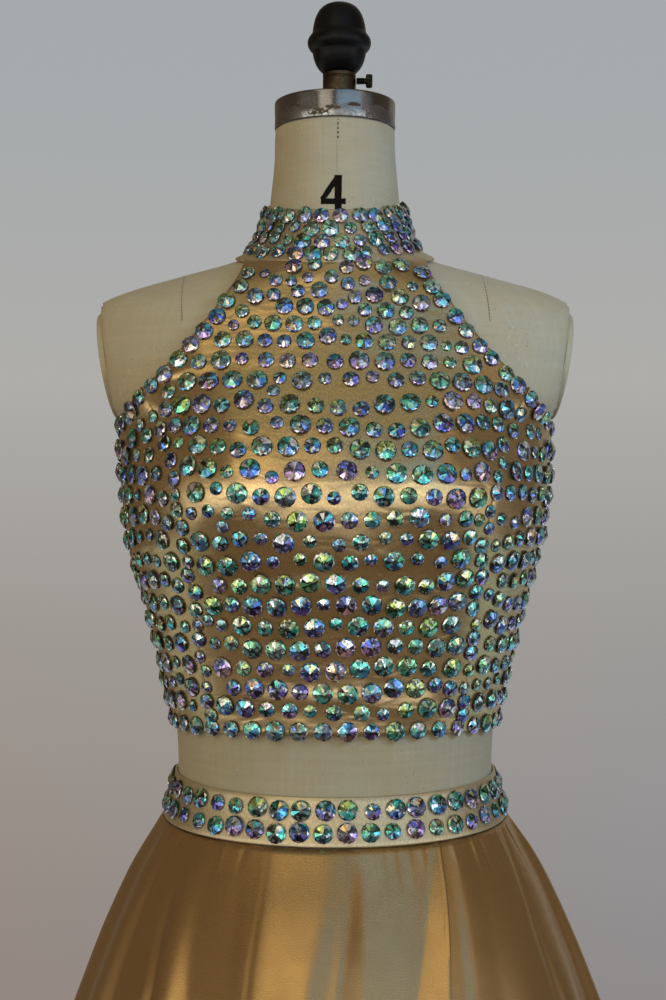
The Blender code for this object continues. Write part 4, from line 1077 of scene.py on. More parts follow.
# Short dents and puckers at the band: angle, half width, mm out and the down where it ends
BAND_DENTS = (
    (15.5, 1.4, -0.9, 0.024), (19.5, 1.2, -0.9, 0.030), (22.5, 1.5, 0.6, 0.026),
    (27.0, 1.3, 0.6, 0.022), (-28.5, 1.6, -0.5, 0.020), (-36.0, 1.8, 0.5, 0.026),
    (-57.0, 1.6, -0.8, 0.030), (-69.0, 1.8, 0.9, 0.034), (38.5, 1.2, 0.9, 0.020),
    (47.5, 1.4, 1.4, 0.022), (51.5, 1.3, -1.0, 0.026), (62.5, 1.4, 0.8, 0.030),
    (73.0, 1.4, -0.9, 0.034), (83.0, 1.6, 1.0, 0.040), (100.0, 1.8, -0.9, 0.040),
    (112.0, 1.8, 0.9, 0.036), (131.0, 2.0, -0.8, 0.034), (152.0, 1.8, 0.8, 0.036),
    (-99.0, 1.8, 0.9, 0.038), (-113.0, 1.8, -0.9, 0.036), (-134.0, 2.0, 0.8, 0.034),
    (-155.0, 1.8, -0.8, 0.036),
)
FRONT_FROM, FRONT_TO = -58.0, 76.0
# Downs between which the main folds grow in under these ridges, and the ridges fade
FOLDS_GROW_IN = (0.06, 0.22)
RIDGES_FADE = (0.12, 0.45)


def swung(at_band, at_hem, down, swing=FOLD_SWING):
    """A fold's angle in degrees at a share of the way down the skirt."""
    return at_hem + (at_band - at_hem) * np.exp(-down / swing)


def turn_between(angle, crest):
    """Degrees from a crest, between -180 and 180."""
    return (angle - crest + 180.0) % 360.0 - 180.0


def fold_rise(angle, down):
    """How far the folds stand out, in metres, at angles in degrees."""
    growth = down ** FOLD_GROWTH
    gathered = np.minimum(1.0, down / GATHER_START) * np.exp(-down / GATHER_LENGTH)
    rise = np.zeros(np.broadcast(angle, down).shape)
    for at_band, at_hem, half_width, hem_rise, gather in SKIRT_FOLDS:
        away = np.clip(turn_between(angle, swung(at_band, at_hem, down)) / half_width, -1, 1)
        rise += np.cos(math.pi / 2 * away) ** 2 * (hem_rise * growth + gather * gathered)
    ahead = smooth_step(angle, FRONT_FROM - 8, FRONT_FROM) * smooth_step(-angle, -FRONT_TO - 8,
                                                                         -FRONT_TO)
    rise *= 1 - ahead * (1 - smooth_step(down, *FOLDS_GROW_IN))
    fading = 1 - smooth_step(down, *RIDGES_FADE)
    for angles, left, right, outs in FRONT_RIDGES:
        aside = turn_between(angle, np.interp(down, RIDGE_DOWNS, angles))
        out = np.interp(down, RIDGE_DOWNS, outs) * fading
        away = np.clip(aside / np.where(aside < 0, left, right), -1, 1)
        rise += np.cos(math.pi / 2 * away) ** 2 * out
    for crest, half_width, out, end in BAND_DENTS:
        away = np.clip(turn_between(angle, crest) / half_width, -1, 1)
        fade = np.clip(1 - down / end, 0, 1) * np.clip(down / 0.004, 0.25, 1)
        rise += np.cos(math.pi / 2 * away) ** 2 * out * fade
    return rise * MM


def pleat_height(down):
    """How far the pleat's pressed edge stands out, in metres."""
    return (PLEAT_AT_TOP + PLEAT_RISE * down ** FOLD_GROWTH
            + PLEAT_SWELL * bell(down - 0.07, 0.07) * np.minimum(1, 0.25 + down / 0.025)) * MM


def skirt_surface(angle, down, out=0.0):
    """Points on the skirt's outer face, with its folds and out metres more."""
    angle, down = np.broadcast_arrays(np.asarray(angle, float), np.asarray(down, float))
    turn = np.radians(angle)
    level = blend(SKIRT_TOP, SKIRT_HEM, down)
    half_width, front, back = SKIRT_TABLE.at(level)
    depth = np.where(np.cos(turn) > 0, front, back)
    x = half_width * MM * np.sin(turn)
    y = -depth * MM * np.cos(turn)
    away = np.stack((np.sin(turn) * depth, -np.cos(turn) * half_width), axis=-1)
    away = away / np.linalg.norm(away, axis=-1, keepdims=True)
    rise = fold_rise(angle, down) + out
    tilt = BAND_TILT * np.cos(turn) * (1 - down) ** 4
    return np.stack((x + away[..., 0] * rise, y + away[..., 1] * rise, level - SEAM_GAP - tilt),
                    axis=-1)


def skirt_downs(near, far):
    """Shares of the way down, close together under the band."""
    upper = np.linspace(0, 0.12, near + 1)
    lower = 0.12 + 0.88 * np.linspace(0, 1, far + 1)[1:] ** 1.15
    return np.concatenate((upper, lower))


PLEAT_TUCK = 9.0 * MM


def front_skirt_points(downs, left, right, fall):
    """Rows over the front panel: the climb to the pleat, the tuck behind it, the rest."""
    edge = swung(PLEAT_AT_BAND, PLEAT_AT_HEM, downs, PLEAT_SWING)[:, None]
    down = downs[:, None]
    rise = pleat_height(down)
    share = np.linspace(0, 1, left + 1)[None, :]
    angle = blend(-90.0, edge, share)
    slope = np.interp(down, PLEAT_SLOPE_DOWNS, PLEAT_SLOPES)
    climb = np.clip(1 + (angle - edge) / slope, 0, 1) ** 1.25
    climbing = skirt_surface(angle, down, climb * rise)
    # The fall behind the pressed edge: a curve in mm across and out
    t = np.linspace(0, 1, fall + 1)[None, 1:]
    tuck = PLEAT_TUCK * (0.35 + 0.65 * np.minimum(1, down * 8))
    corners = ((0.0, 1.0), (0.20, 0.92), (-1.15, 0.62), (-0.75, 0.0), (0.45, 0.0))
    weights = [math.comb(4, k) * t ** k * (1 - t) ** (4 - k) for k in range(5)]
    across = sum(w * c[0] for w, c in zip(weights, corners)) * tuck
    out = sum(w * c[1] for w, c in zip(weights, corners)) * rise
    radius = SKIRT_TABLE.at(blend(SKIRT_TOP, SKIRT_HEM, down))[1] * MM
    fallen = edge + np.degrees(across / radius)
    falling = skirt_surface(fallen, down, out)
    share = np.linspace(0, 1, right + 1)[None, 1:]
    rest = blend(fallen[:, -1:], 90.0, share)
    beyond = skirt_surface(rest, down, 0.0)
    return np.concatenate((climbing, falling, beyond), axis=1)


def back_skirt_points(downs, side, columns):
    """Rows over a back panel, parted by the zip and closed to a seam below it."""
    down = downs[:, None]
    half_width = SKIRT_TABLE.at(blend(SKIRT_TOP, SKIRT_HEM, down))[0] * MM
    gap = np.where(down > ZIP_END_DOWN, SEAM_GAP / 2, ZIP_HALF_WIDTH + SEAM_GAP)
    last = 180.0 - np.degrees(gap / half_width)
    angle = blend(90.0, last, np.linspace(0, 1, columns + 1)[None, :])
    if side < 0:
        angle = -angle[:, ::-1]
    return skirt_surface(angle, down)


def skirt(looks):
    """Three panels, sewn at the sides and the centre back, with a narrow turned hem."""
    downs = skirt_downs(30, 56)
    panels = (
        ("skirt_front_panel", "skirt_front", front_skirt_points(downs, 190, 120, 12), 1.56, 1.12),
        ("skirt_left_back", "skirt_back_left", back_skirt_points(downs, -1, 110), 0.80, 0.57),
        ("skirt_right_back", "skirt_back_right", back_skirt_points(downs, 1, 110), 0.80, 0.57),
    )
    for seed, (name, node, points, width, area) in enumerate(panels, 21):
        points = rippled(points[::-1], 0.35 * MM, 0.035, seed)
        for side, radius, depth in (("left", SEAM_ROLL, 0.0), ("right", SEAM_ROLL, 0.0),
                                    ("bottom", 1.1 * MM, 10 * MM)):
            points = turn_under(points, side, radius, depth)
        piece = shell(name, points, looks["skirt"], node, (width, 1.12))


# Sewn stones
LARGE, MEDIUM, SMALL = 6.8 * MM, 5.5 * MM, 4.4 * MM
STONE_SIDES = 12
# How far apart the stones of a row are: along the hem, the armholes, the princess seams,
# the backs' upper edges, the collar and the band
HEM_PITCH, ARMHOLE_PITCH, SEAM_PITCH = 15.6 * MM, 12.6 * MM, 10.4 * MM
BACK_PITCH, COLLAR_PITCH, BAND_PITCH = 14.0 * MM, 12.5 * MM, 15.1 * MM
# Over the rest: how far apart along a row, how far up to the next, and how large
CHEST_ROWS = (13.2 * MM, 11.4 * MM, 0.88)
BODY_ROWS = (15.2 * MM, 14.3 * MM, 1.0)
CHEST_START = 1.355
# The stone in shares of its radius: each step is how far in and how far up it goes
BACK_RADIUS = 0.93
GIRDLE_HEIGHT = 0.20
CROWN_STEP = (0.15, 0.11)
WEDGE_STEP = (0.56, 0.20)
POINT_RISE = 0.06
HOLE_PLACE = (0.73, 0.38)
# The heights between which the upper chest's stones begin to take a painted pale reflection
CHEST_LEVELS = (1.27, 1.36)

# Colours that the coat shows, from the yellow-green end to the rose end
COAT_COLOURS = np.array((
    (0.34, 0.42, 0.10), (0.09, 0.40, 0.20), (0.03, 0.38, 0.33), (0.03, 0.28, 0.46),
    (0.03, 0.09, 0.48), (0.14, 0.07, 0.42), (0.46, 0.26, 0.48), (0.72, 0.42, 0.40),
))
# The places on that row that stones are drawn from, and how bright their wedges are
STONE_HUES = (0.7, 1.2, 1.7, 2.0, 2.3, 2.5, 2.8, 3.0, 3.4, 3.7, 3.9, 4.1, 5.2)
WEDGE_TONES = (0.04, 0.09, 0.20, 0.40, 0.70, 1.05, 1.45, 1.90)
# Painted glints: the colours that the brightest wedges flash
PAINTED_FLASH_COLOURS = (
    (0.94, 0.96, 0.90), (0.90, 0.95, 0.95), (0.30, 0.90, 0.90), (0.62, 0.80, 0.24),
    (0.94, 0.90, 0.62), (0.92, 0.62, 0.34), (0.85, 0.72, 0.88), (0.20, 0.34, 0.85),
)
# A painted pale reflection that washes the stones, most of all those of the upper chest
PALE_REFLECTION_COLOUR = np.array((0.56, 0.60, 0.50))
# Painted shade inside the sew holes
HOLE_SHADE_COLOUR = np.array((0.01, 0.01, 0.012))
BACK_COLOUR = np.array((0.015, 0.022, 0.030))
# Painted glints on the sew holes' rims and on some crown facets
RIM_GLINT = np.array((0.95, 0.95, 0.92))
ROSE_GLINT = np.array((0.88, 0.78, 0.80))


def stone_mesh(holes):
    """A cut stone of unit radius: flat back, girdle, a crown of small facets and wedges
    that climb to a point."""
    bm = bmesh.new()
    bmesh.ops.create_cone(bm, cap_ends=True, segments=STONE_SIDES, radius1=BACK_RADIUS,
                          radius2=1.0, depth=GIRDLE_HEIGHT)
    bmesh.ops.translate(bm, verts=bm.verts[:], vec=(0, 0, GIRDLE_HEIGHT / 2))
    top = max(bm.faces, key=lambda face: face.calc_center_median().z)
    crown = bmesh.ops.inset_region(bm, faces=[top], thickness=CROWN_STEP[0],
                                   use_even_offset=False)
    bmesh.ops.rotate(bm, cent=(0, 0, 0), verts=list(top.verts),
                     matrix=Matrix.Rotation(math.pi / STONE_SIDES, 3, "Z"))
    bmesh.ops.translate(bm, verts=list(top.verts), vec=(0, 0, CROWN_STEP[1]))
    bmesh.ops.triangulate(bm, faces=crown["faces"], quad_method="SHORT_EDGE")
    bmesh.ops.inset_region(bm, faces=[top], thickness=WEDGE_STEP[0], use_even_offset=False)
    bmesh.ops.translate(bm, verts=list(top.verts), vec=(0, 0, WEDGE_STEP[1]))
    poked = bmesh.ops.poke(bm, faces=[top])
    bmesh.ops.translate(bm, verts=poked["verts"], vec=(0, 0, POINT_RISE))
    for side in (-1, 1) if holes else ():
        ring = bmesh.ops.create_cone(bm, cap_ends=True, segments=6, radius1=0.13, radius2=0.09,
                                     depth=0.09)
        bmesh.ops.translate(bm, verts=ring["verts"], vec=(side * HOLE_PLACE[0], 0, HOLE_PLACE[1]))
    mesh = bpy.data.meshes.new("stone")
    bm.to_mesh(mesh)
    bm.free()
    return mesh


def coat_colour(place):
    """The coat's colour at a place on the row of colours."""
    place = min(max(place, 0.0), len(COAT_COLOURS) - 1.001)
    index = int(place)
    return blend(COAT_COLOURS[index], COAT_COLOURS[index + 1], place - index)


def wedge_colours(rng, hue, upward, pale):
    """Colours of the wedges round the middle. Greens toward the stone's upper side and violets
    toward the lower are painted reflection of the light from above, a painted pale reflection
    washes some of them, and up to three wedges get a painted flash."""
    swing = rng.uniform(0.5, 1.8)
    pale_reflection = rng.choice((0.0, 0.05, 0.12, 0.30)) + pale * rng.choice((0.05, 0.15, 0.35))
    flashes = rng.choice((0, 1, 1, 1, 2, 3))
    flash_at = upward + rng.gauss(0, 0.55) + (math.pi if pale > rng.random() else 0.0)
    flash_tone = np.array(rng.choice(PAINTED_FLASH_COLOURS))
    step = 2 * math.pi / STONE_SIDES
    wedges = []
    for number in range(STONE_SIDES):
        turn = (number + 0.5) * step
        plain = coat_colour(hue - swing * math.cos(turn - upward) + rng.uniform(-0.7, 0.7))
        shade = blend(plain * rng.choice(WEDGE_TONES), PALE_REFLECTION_COLOUR,
                      pale_reflection * rng.uniform(0.2, 1.0))
        away = abs((turn - flash_at + math.pi) % (2 * math.pi) - math.pi)
        if away < flashes * step / 2:
            shade = blend(plain, flash_tone, rng.choice((0.5, 0.8, 1.0)))
        wedges.append(shade)
    return wedges


def facet_colours(mesh, rng, upward, pale):
    """A colour for each facet, by where it lies on the stone. The middle is mostly dark. The sew
    holes get painted shade, their rims and some crown facets painted glints, and the crown's painted
    reflection turns rose on its lower side.
    """
    hue = rng.choice(STONE_HUES)
    wedges = wedge_colours(rng, hue, upward, pale)
    colours = []
    for face in mesh.polygons:
        middle = face.center
        away = math.hypot(middle.x, middle.y)
        around = math.atan2(middle.y, middle.x)
        if len(face.vertices) == 6:
            shade = HOLE_SHADE_COLOUR
        elif middle.z < 0.19:
            shade = BACK_COLOUR
        elif len(face.vertices) == 4 and away > 0.6 and middle.z > 0.33:
            shade = RIM_GLINT
        elif away > 0.84:
            below = -math.cos(around - upward)
            shade = coat_colour(hue + 1.6 * below + rng.uniform(-1.2, 1.2))
            shade = shade * rng.choice((0.1, 0.3, 0.7, 1.6))
            shade = blend(shade, ROSE_GLINT, rng.choice((0, 0, 0, 0.7)))
        else:
            shade = wedges[int(around // (2 * math.pi / STONE_SIDES)) % STONE_SIDES]
            if away < 0.3:
                shade = shade * rng.choice((0.15, 0.3, 0.3, 1.0))
        colours.append((*np.clip(shade, 0.004, 0.97), 1.0))
    return colours


def sew_on(name, surface, angle, height, radius, looks, seed, tilt=0.10, lift=-0.2 * MM):
    """One piece of many stones on a surface, each turned and tilted at random. Those of
    the upper chest get more painted pale reflection and most often their painted flash on
    their lower side."""
    rng = random.Random(seed)
    tilts = [tilt * rng.uniform(0.2, 1.0) for _ in angle]
    lifts = [lift + rng.uniform(0.0, 0.5) * MM for _ in angle]
    rows = zip(surface(angle, height), outward(surface, angle, height), radius, tilts, lifts)
    rng = random.Random(seed)
    plain, holed = stone_mesh(False), stone_mesh(True)
    bm = bmesh.new()
    for place, normal, size, lean, rise in rows:
        stone = (holed if rng.random() < 0.45 else plain).copy()
        normal = Vector(normal)
        aside = Vector([rng.uniform(-1, 1) for _ in range(3)]) * lean
        facing = (normal + aside).normalized().to_track_quat("Z", "Y").to_matrix().to_4x4()
        spin = rng.uniform(0, 2 * math.pi)
        pale = float(smooth_step(place[2], *CHEST_LEVELS))
        paint = stone.attributes.new("facet", "FLOAT_COLOR", "CORNER")
        tones = []
        for face, tone in zip(stone.polygons, facet_colours(stone, rng, math.pi / 2 - spin, pale)):
            tones.extend(tone * face.loop_total)
        paint.data.foreach_set("color", tones)
        stone.transform(Matrix.Translation(Vector(place) + normal * rise) @ facing
                        @ Matrix.Rotation(spin, 4, "Z") @ Matrix.Scale(size, 4))
        bm.from_mesh(stone)
        bpy.data.meshes.remove(stone)
    bpy.data.meshes.remove(plain)
    bpy.data.meshes.remove(holed)
    finish_piece(bm, name, looks["crystal"], smooth=False)


def run_along(points):
    """How far each point of a line lies from its first."""
    return np.concatenate(([0.0], np.cumsum(np.linalg.norm(np.diff(points, axis=0), axis=1))))


def place_on_arc(surface, level, first, last, pitch, phase):
    """Angles along a level between two angles, a pitch apart from the arc's middle."""
    fine = np.linspace(first, last, 400)
    run = run_along(surface(fine, level(fine)))
    run -= run[-1] / 2
    reach = int(run[-1] / pitch) + 1
    spots = (np.arange(-reach, reach + 1) + phase) * pitch
    spots = spots[(spots > run[0]) & (spots < run[-1])]
    return np.interp(spots, run, fine)


def spread_apart(angle, height, radius, held, rounds, gap=0.5 * MM, force=1.0):
    """Stones of the top nearer than the gap push each other aside."""
    step = 0.001
    for _ in range(rounds):
        points = top_points(angle, height)
        along = (top_points(angle + step, height) - points) / step
        up = (top_points(angle, height + step) - points) / step
        apart = points[:, None, :] - points[None, :, :]
        distance = np.linalg.norm(apart, axis=2) + 1e-9
        wanted = (radius[:, None] + radius[None, :]) + gap
        short = np.clip(wanted - distance, 0, None)
        np.fill_diagonal(short, 0.0)
        share = np.where(held[None, :], 0.9, 0.45) * force
        push = (apart / distance[..., None] * (short * share)[..., None]).sum(axis=1)
        push[held] = 0.0
        angle = angle + (push * along).sum(axis=1) / (along ** 2).sum(axis=1)
        height = height + (push * up).sum(axis=1) / (up ** 2).sum(axis=1)
    return angle, height


def edge_size(rng):
    """A radius between medium and large, for the rows along edges."""
    return blend(MEDIUM, LARGE, rng.random())


def hem_stones(rng):
    """A row that straddles the hem."""
    reach = math.pi - 0.05
    for angle in place_on_arc(top_points, hem_height, -reach, reach, HEM_PITCH, 0.5):
        yield angle, hem_height(angle) + 2.6 * MM, edge_size(rng)


def armhole_stones(rng):
    """Rows along both armhole edges."""
    levels = np.linspace(UNDERARM + 0.003, COLLAR_BASE - 0.016, 300)
    run = run_along(top_points(armhole_angle(levels), levels))
    for side in (-1, 1):
        for spot in np.arange(5 * MM, run[-1], ARMHOLE_PITCH):
            level = float(np.interp(spot, run, levels))
            edge = float(armhole_angle(level))
            inside = (4.8 + rng.uniform(-0.6, 1.0)) * MM
            width = FORM_TABLE.at(level)[0] * MM
            angle = edge - inside / width / max(0.45, math.cos(edge))
            yield side * angle, level + rng.uniform(-1, 1) * MM, edge_size(rng) * 0.95


def seam_stones(rng):
    """Smaller stones, closer together, on the princess seams."""
    for side in (-1, 1):
        for level in np.arange(HEM_SIDE + 0.014, SEAM_MEETS_ARMHOLE - 0.012, SEAM_PITCH):
            shift = rng.uniform(-2.8, 2.8) * MM / CHEST_RADIUS
            yield (side * float(princess_angle(level)) + shift,
                   level + rng.uniform(-1.5, 1.5) * MM, rng.choice((SMALL, MEDIUM, MEDIUM)))


def back_edge_stones(rng):
    """Rows under the upper edges of the backs."""
    for side in (-1, 1):
        for angle in place_on_arc(top_points, back_top_height, math.pi / 2 + 0.04,
                                  math.pi - 0.06, BACK_PITCH, 0.5):
            yield side * angle, float(back_top_height(angle)) - 4.5 * MM, edge_size(rng)


def field_stones(rng):
    """Staggered, slightly wavy rows over the rest, closer together on the chest."""
    level = HEM_SIDE + 16.5 * MM
    row = 0
    while level < COLLAR_BASE:
        pitch, climb, grow = CHEST_ROWS if level > CHEST_START else BODY_ROWS
        reach = float(armhole_angle(level)) if level > UNDERARM else math.pi - 0.05
        lift = HEM_FRONT_LIFT * max(0.0, 1 - (level - HEM_SIDE) / 0.16)
        sag = COLLAR_BASE_TILT * float(smooth_step(level, 1.36, 1.42))
        wander = rng.uniform(0, 9)

        def wavy(angle):
            wave = 1.9 * np.sin(angle * 2.3 + wander) + 1.3 * np.sin(angle * 5.1 + wander * 2)
            return (level + lift * ((1 + np.cos(angle)) / 2) ** 2 - sag * np.cos(angle)
                    + wave * MM)

        phase = (0.5 if row % 2 else 0.0) + rng.uniform(-0.08, 0.08)
        for angle in place_on_arc(top_points, wavy, -reach, reach, pitch, phase):
            here = float(wavy(angle)) + rng.uniform(-1.5, 1.5) * MM
            angle = angle + rng.uniform(-1.6, 1.6) * MM / CHEST_RADIUS
            outside = (
                abs(angle) > math.pi / 2 and here > float(back_top_height(angle)) - 9 * MM
                or here > float(collar_base_height(angle)) - 4 * MM
                or here > UNDERARM and abs(angle) > float(armhole_angle(here)) - 0.045)
            if not outside:
                yield angle, here, rng.choice((LARGE, LARGE, LARGE, MEDIUM, MEDIUM, SMALL)) * grow
        level += climb
        row += 1


def top_stones(rng):
    """Angle, height and radius of every stone of the crop top, and which are held."""
    held = [*hem_stones(rng), *armhole_stones(rng), *seam_stones(rng), *back_edge_stones(rng)]
    stones = held + list(field_stones(rng))
    angle, height, radius = (np.array(column) for column in zip(*stones))
    return angle, height, radius, np.arange(len(stones)) < len(held)


def thinned(angle, height, radius, held):
    """Leave out loose stones that lie mostly over another one."""
    points = top_points(angle, height)
    keep = np.ones(len(angle), bool)
    order = np.argsort(~held, kind="stable")
    for place, index in enumerate(order):
        if held[index]:
            continue
        others = [other for other in order[:place] if keep[other]]
        distance = np.linalg.norm(points[others] - points[index], axis=1)
        if np.any(distance < (radius[others] + radius[index]) * 0.62):
            keep[index] = False
    return angle[keep], height[keep], radius[keep], held[keep]


def filled(angle, height, radius, held, rng, count):
    """Small stones put in wherever a gap inside the top's edges is wide enough for one."""
    draw = np.random.default_rng(rng.randrange(1000))
    new_angle = draw.uniform(-math.pi + 0.07, math.pi - 0.07, count)
    new_height = draw.uniform(HEM_SIDE + 0.010, COLLAR_BASE, count)
    behind = np.abs(new_angle) > math.pi / 2
    above = ~behind & (new_height > UNDERARM)
    inside = ~behind | (new_height < back_top_height(new_angle) - 6 * MM)
    inside &= new_height < collar_base_height(new_angle) - 5 * MM
    inside &= ~above | (np.abs(new_angle) < armhole_angle(new_height) - 0.06)
    new_angle, new_height = new_angle[inside], new_height[inside]
    spots = top_points(new_angle, new_height)
    points = top_points(angle, height)
    chosen = []
    for index, spot in enumerate(spots):
        if np.any(np.linalg.norm(points - spot, axis=1) < radius + SMALL + 0.5 * MM):
            continue
        if chosen and np.any(np.linalg.norm(spots[chosen] - spot, axis=1) < 2 * SMALL + 0.6 * MM):
            continue
        chosen.append(index)
    number = len(chosen)
    return (np.concatenate((angle, new_angle[chosen])),
            np.concatenate((height, new_height[chosen])),
            np.concatenate((radius, np.full(number, SMALL))),
            np.concatenate((held, np.zeros(number, bool))))


def top_crystals(rng, looks):
    """Stones over the top's five panels, one piece for each panel."""
    angle, height, radius, held = top_stones(rng)
    wander = 1.9 * np.sin(9.0 * angle + 70.0 * height) + 1.2 * np.sin(23.0 * angle - 160.0 * height)
    height = height + np.where(~held, wander * MM, 0.0)
    angle, height, radius, held = thinned(angle, height, radius, held)
    angle, height = spread_apart(angle, height, radius, held, 24, 3.4 * MM, 0.22)
    angle, height = spread_apart(angle, height, radius, held, 20)
    angle, height, radius, held = filled(angle, height, radius, held, rng, 9000)
    angle, height = spread_apart(angle, height, radius, held, 15, 0.3 * MM)
    seam = np.where(height > SEAM_MEETS_ARMHOLE, math.pi, princess_angle(height))
    middle = np.abs(angle) <= seam
    side = ~middle & (np.abs(angle) <= math.pi / 2)
    back = np.abs(angle) > math.pi / 2
    parts = (("front", middle), ("side_left", side & (angle < 0)),
             ("side_right", side & (angle > 0)), ("back_left", back & (angle < 0)),
             ("back_right", back & (angle > 0)))
    for seed, (word, chosen) in enumerate(parts, 40):
        sew_on("crystals_" + word, top_points, angle[chosen], height[chosen], radius[chosen],
               looks, seed)


def girth_stones(surface, rows, pitch, sizes, rng, end, sway, clear=0.0, lift=0.0):
    """Stones in rows round a strip. Rows gives each row's share of the strip's height and
    its phase. In radians, end and clear keep the stones off the strip's ends, and sway is
    how far one may lie aside. Lift raises the rows on the +X side, in shares of the height."""
    stones = []
    for share, phase in rows:
        for turn in place_on_arc(surface, lambda angle: angle * 0 + share, end - math.pi,
                                 math.pi - end, pitch, phase):
            if abs(turn) <= math.pi - clear:
                stones.append((turn + rng.uniform(-1, 1) * sway,
                               share + rng.uniform(-0.03, 0.03) + lift * max(0.0, math.sin(turn)),
                               rng.choice(sizes)))
    return [np.array(column) for column in zip(*stones)]


def crystals(looks):
    """Stones over the top, the collar and the band."""
    rng = random.Random(7)
    top_crystals(rng, looks)
    rows = ((0.15, 0.8), (0.39, 0.3), (0.63, 0.8), (0.86, 0.3))
    sizes = (LARGE * 0.88, LARGE * 0.88, MEDIUM, SMALL)
    stones = girth_stones(collar_outside, rows, COLLAR_PITCH, sizes, rng, end=0.12, clear=0.16,
                          sway=0.9 * MM / 0.05, lift=0.06)
    sew_on("crystals_collar", collar_outside, *stones, looks, 60, 0.16, 0.4 * MM)
    rows = ((0.27, 0.5), (0.73, 0.58))
    sizes = (LARGE, LARGE, LARGE * 0.94, MEDIUM)
    stones = girth_stones(band_outside, rows, BAND_PITCH, sizes, rng, end=0.05,
                          sway=0.7 * MM / 0.11)
    sew_on("crystals_band", band_outside, *stones, looks, 61, 0.08)


# The dress form
def form_cover(looks):
    """Linen stretched over the torso, closed at the neck and underneath."""
    levels = []
    for upper, lower in zip(FORM_SECTIONS, FORM_SECTIONS[1:]):
        count = max(2, int(round((upper[0] - lower[0]) / 0.006)))
        levels.extend(np.linspace(upper[0], lower[0], count, endpoint=False))
    levels.append(FORM_SECTIONS[-1][0])
    height = np.array(levels[::-1])[:, None]
    angle = np.linspace(-math.pi, math.pi, 161)[None, :-1]
    points = form_surface(angle, height)
    normals = outward(form_surface, angle, height)
    # The linen dents a little where no cloth lies over it
    shown = np.clip(np.minimum(height - 1.325, 1.505 - height) / 0.01, 0, 1)
    for spot in np.ndindex(points.shape[:2]):
        place = Vector(points[spot])
        dent = noise.noise(place * 40) * 0.35 + noise.noise(place * 95) * 0.15
        points[spot] += normals[spot] * dent * MM * shown[spot[0], 0]
    wrapped(points, "form_cover", looks["linen"], "form_torso", (0.75, 0.75))


def stitch_row(bm, angles, heights, length, thickness):
    """Short threads lying on the form, each along its own step of the row."""
    for angle, height, next_angle, next_height in zip(angles, heights, angles[1:], heights[1:]):
        start = Vector(form_surface(angle, height))
        ahead = Vector(form_surface(next_angle, next_height)) - start
        made = bmesh.ops.create_cone(bm, cap_ends=True, segments=6, radius1=thickness,
                                     radius2=thickness * 0.8, depth=length)
        turn = ahead.to_track_quat("Z", "Y").to_matrix()
        bmesh.ops.rotate(bm, cent=(0, 0, 0), matrix=turn, verts=made["verts"])
        normal = Vector(outward(form_surface, np.array(angle), np.array(height)))
        bmesh.ops.translate(bm, vec=start + ahead * 0.5 + normal * 0.15 * MM,
                            verts=made["verts"])


def form_seams(looks):
    """Sewn seams of the linen cover, down the neck and over both shoulders."""
    bm = bmesh.new()
    neck_seams = ((6, 1.5098, 1.4948, 1.8, 1.6, 0.46), (12, 1.4950, 1.4725, 1.2, 0.7, 0.13))
    for count, top, bottom, aside, length, thickness in neck_seams:
        stitch_row(bm, np.full(count, aside * MM / NECK_RADIUS), np.linspace(top, bottom, count),
                   length * MM, thickness * MM)
    for side, from_middle in ((-1, 0.1030), (1, 0.1000)):
        heights = np.linspace(1.4080, 1.3720, 18)
        angles = side * angle_at(from_middle + (1.408 - heights) * 0.06 * side, heights)
        stitch_row(bm, angles, heights, 1.5 * MM, 0.22 * MM)
    finish_piece(bm, "form_stitches", looks["linen_thread"])


# Brush strokes of the numeral: where each starts and ends, and its width, in metres
NUMERAL_STROKES = (
    ((0.0021, 1.4707), (0.0021, 1.4400), 0.0047),
    ((-0.0095, 1.4529), (0.0071, 1.4529), 0.0039),
    ((0.0018, 1.4695), (-0.0085, 1.4540), 0.0037),
)


def numeral(looks):
    """The size numeral painted on the front of the neck."""
    bm = bmesh.new()
    for start, end, width in NUMERAL_STROKES:
        made = bmesh.ops.create_grid(bm, x_segments=24, y_segments=3, size=0.5)
        run = Vector(end) - Vector(start)
        side = Vector((-run.y, run.x)).normalized()
        for vert in made["verts"]:
            ragged = 1 + 0.12 * noise.noise(vert.co * 9)
            across = vert.co.y * width * ragged
            x, z = Vector(start) + run * (vert.co.x + 0.5) + side * across
            angle = float(angle_at(x, z)) * (1 if x > 0 else -1)
            vert.co = moved_out(form_surface, np.array(angle), np.array(z), 0.12 * MM)
    bmesh.ops.recalc_face_normals(bm, faces=bm.faces[:])
    finish_piece(bm, "size_numeral", looks["numeral"])


def arm_plate(side, word, looks):
    """An oval plate over a flat arm end, its linen edge turned over."""
    bm = bmesh.new()
    lean = math.atan(PLATE_LEAN)
    bmesh.ops.create_cone(bm, cap_ends=True, segments=72, radius1=1.0, radius2=1.0,
                          depth=PLATE_THICKNESS)
    rim = [edge for edge in bm.edges if edge.calc_length() < 1.0
           and edge.verts[0].co.z > 0 and edge.verts[1].co.z > 0]
    bmesh.ops.scale(bm, vec=(PLATE_HALF_HEIGHT, PLATE_HALF_DEPTH, 1), verts=bm.verts[:])
    ease_edges(bm, rim, 1.5 * MM, 4)
    middle = PLATE_TOP_X + (PLATE_MIDDLE - PLATE_TOP_HEIGHT) * PLATE_LEAN
    middle += (SEAM_GAP + PLATE_THICKNESS / 2) / math.cos(lean)
    turn_and_move(bm, "Y", math.pi / 2 + lean, (middle, PLATE_BACK_SHIFT, PLATE_MIDDLE))
    if side < 0:
        bmesh.ops.scale(bm, vec=(-1, 1, 1), verts=bm.verts[:])
        bmesh.ops.reverse_faces(bm, faces=bm.faces[:])
    lay_threads(bm, 1, 2)
    finish_piece(bm, "oval_plate_" + word, looks["linen"], "arm_plate_" + word,
                 sharp_angle=60)


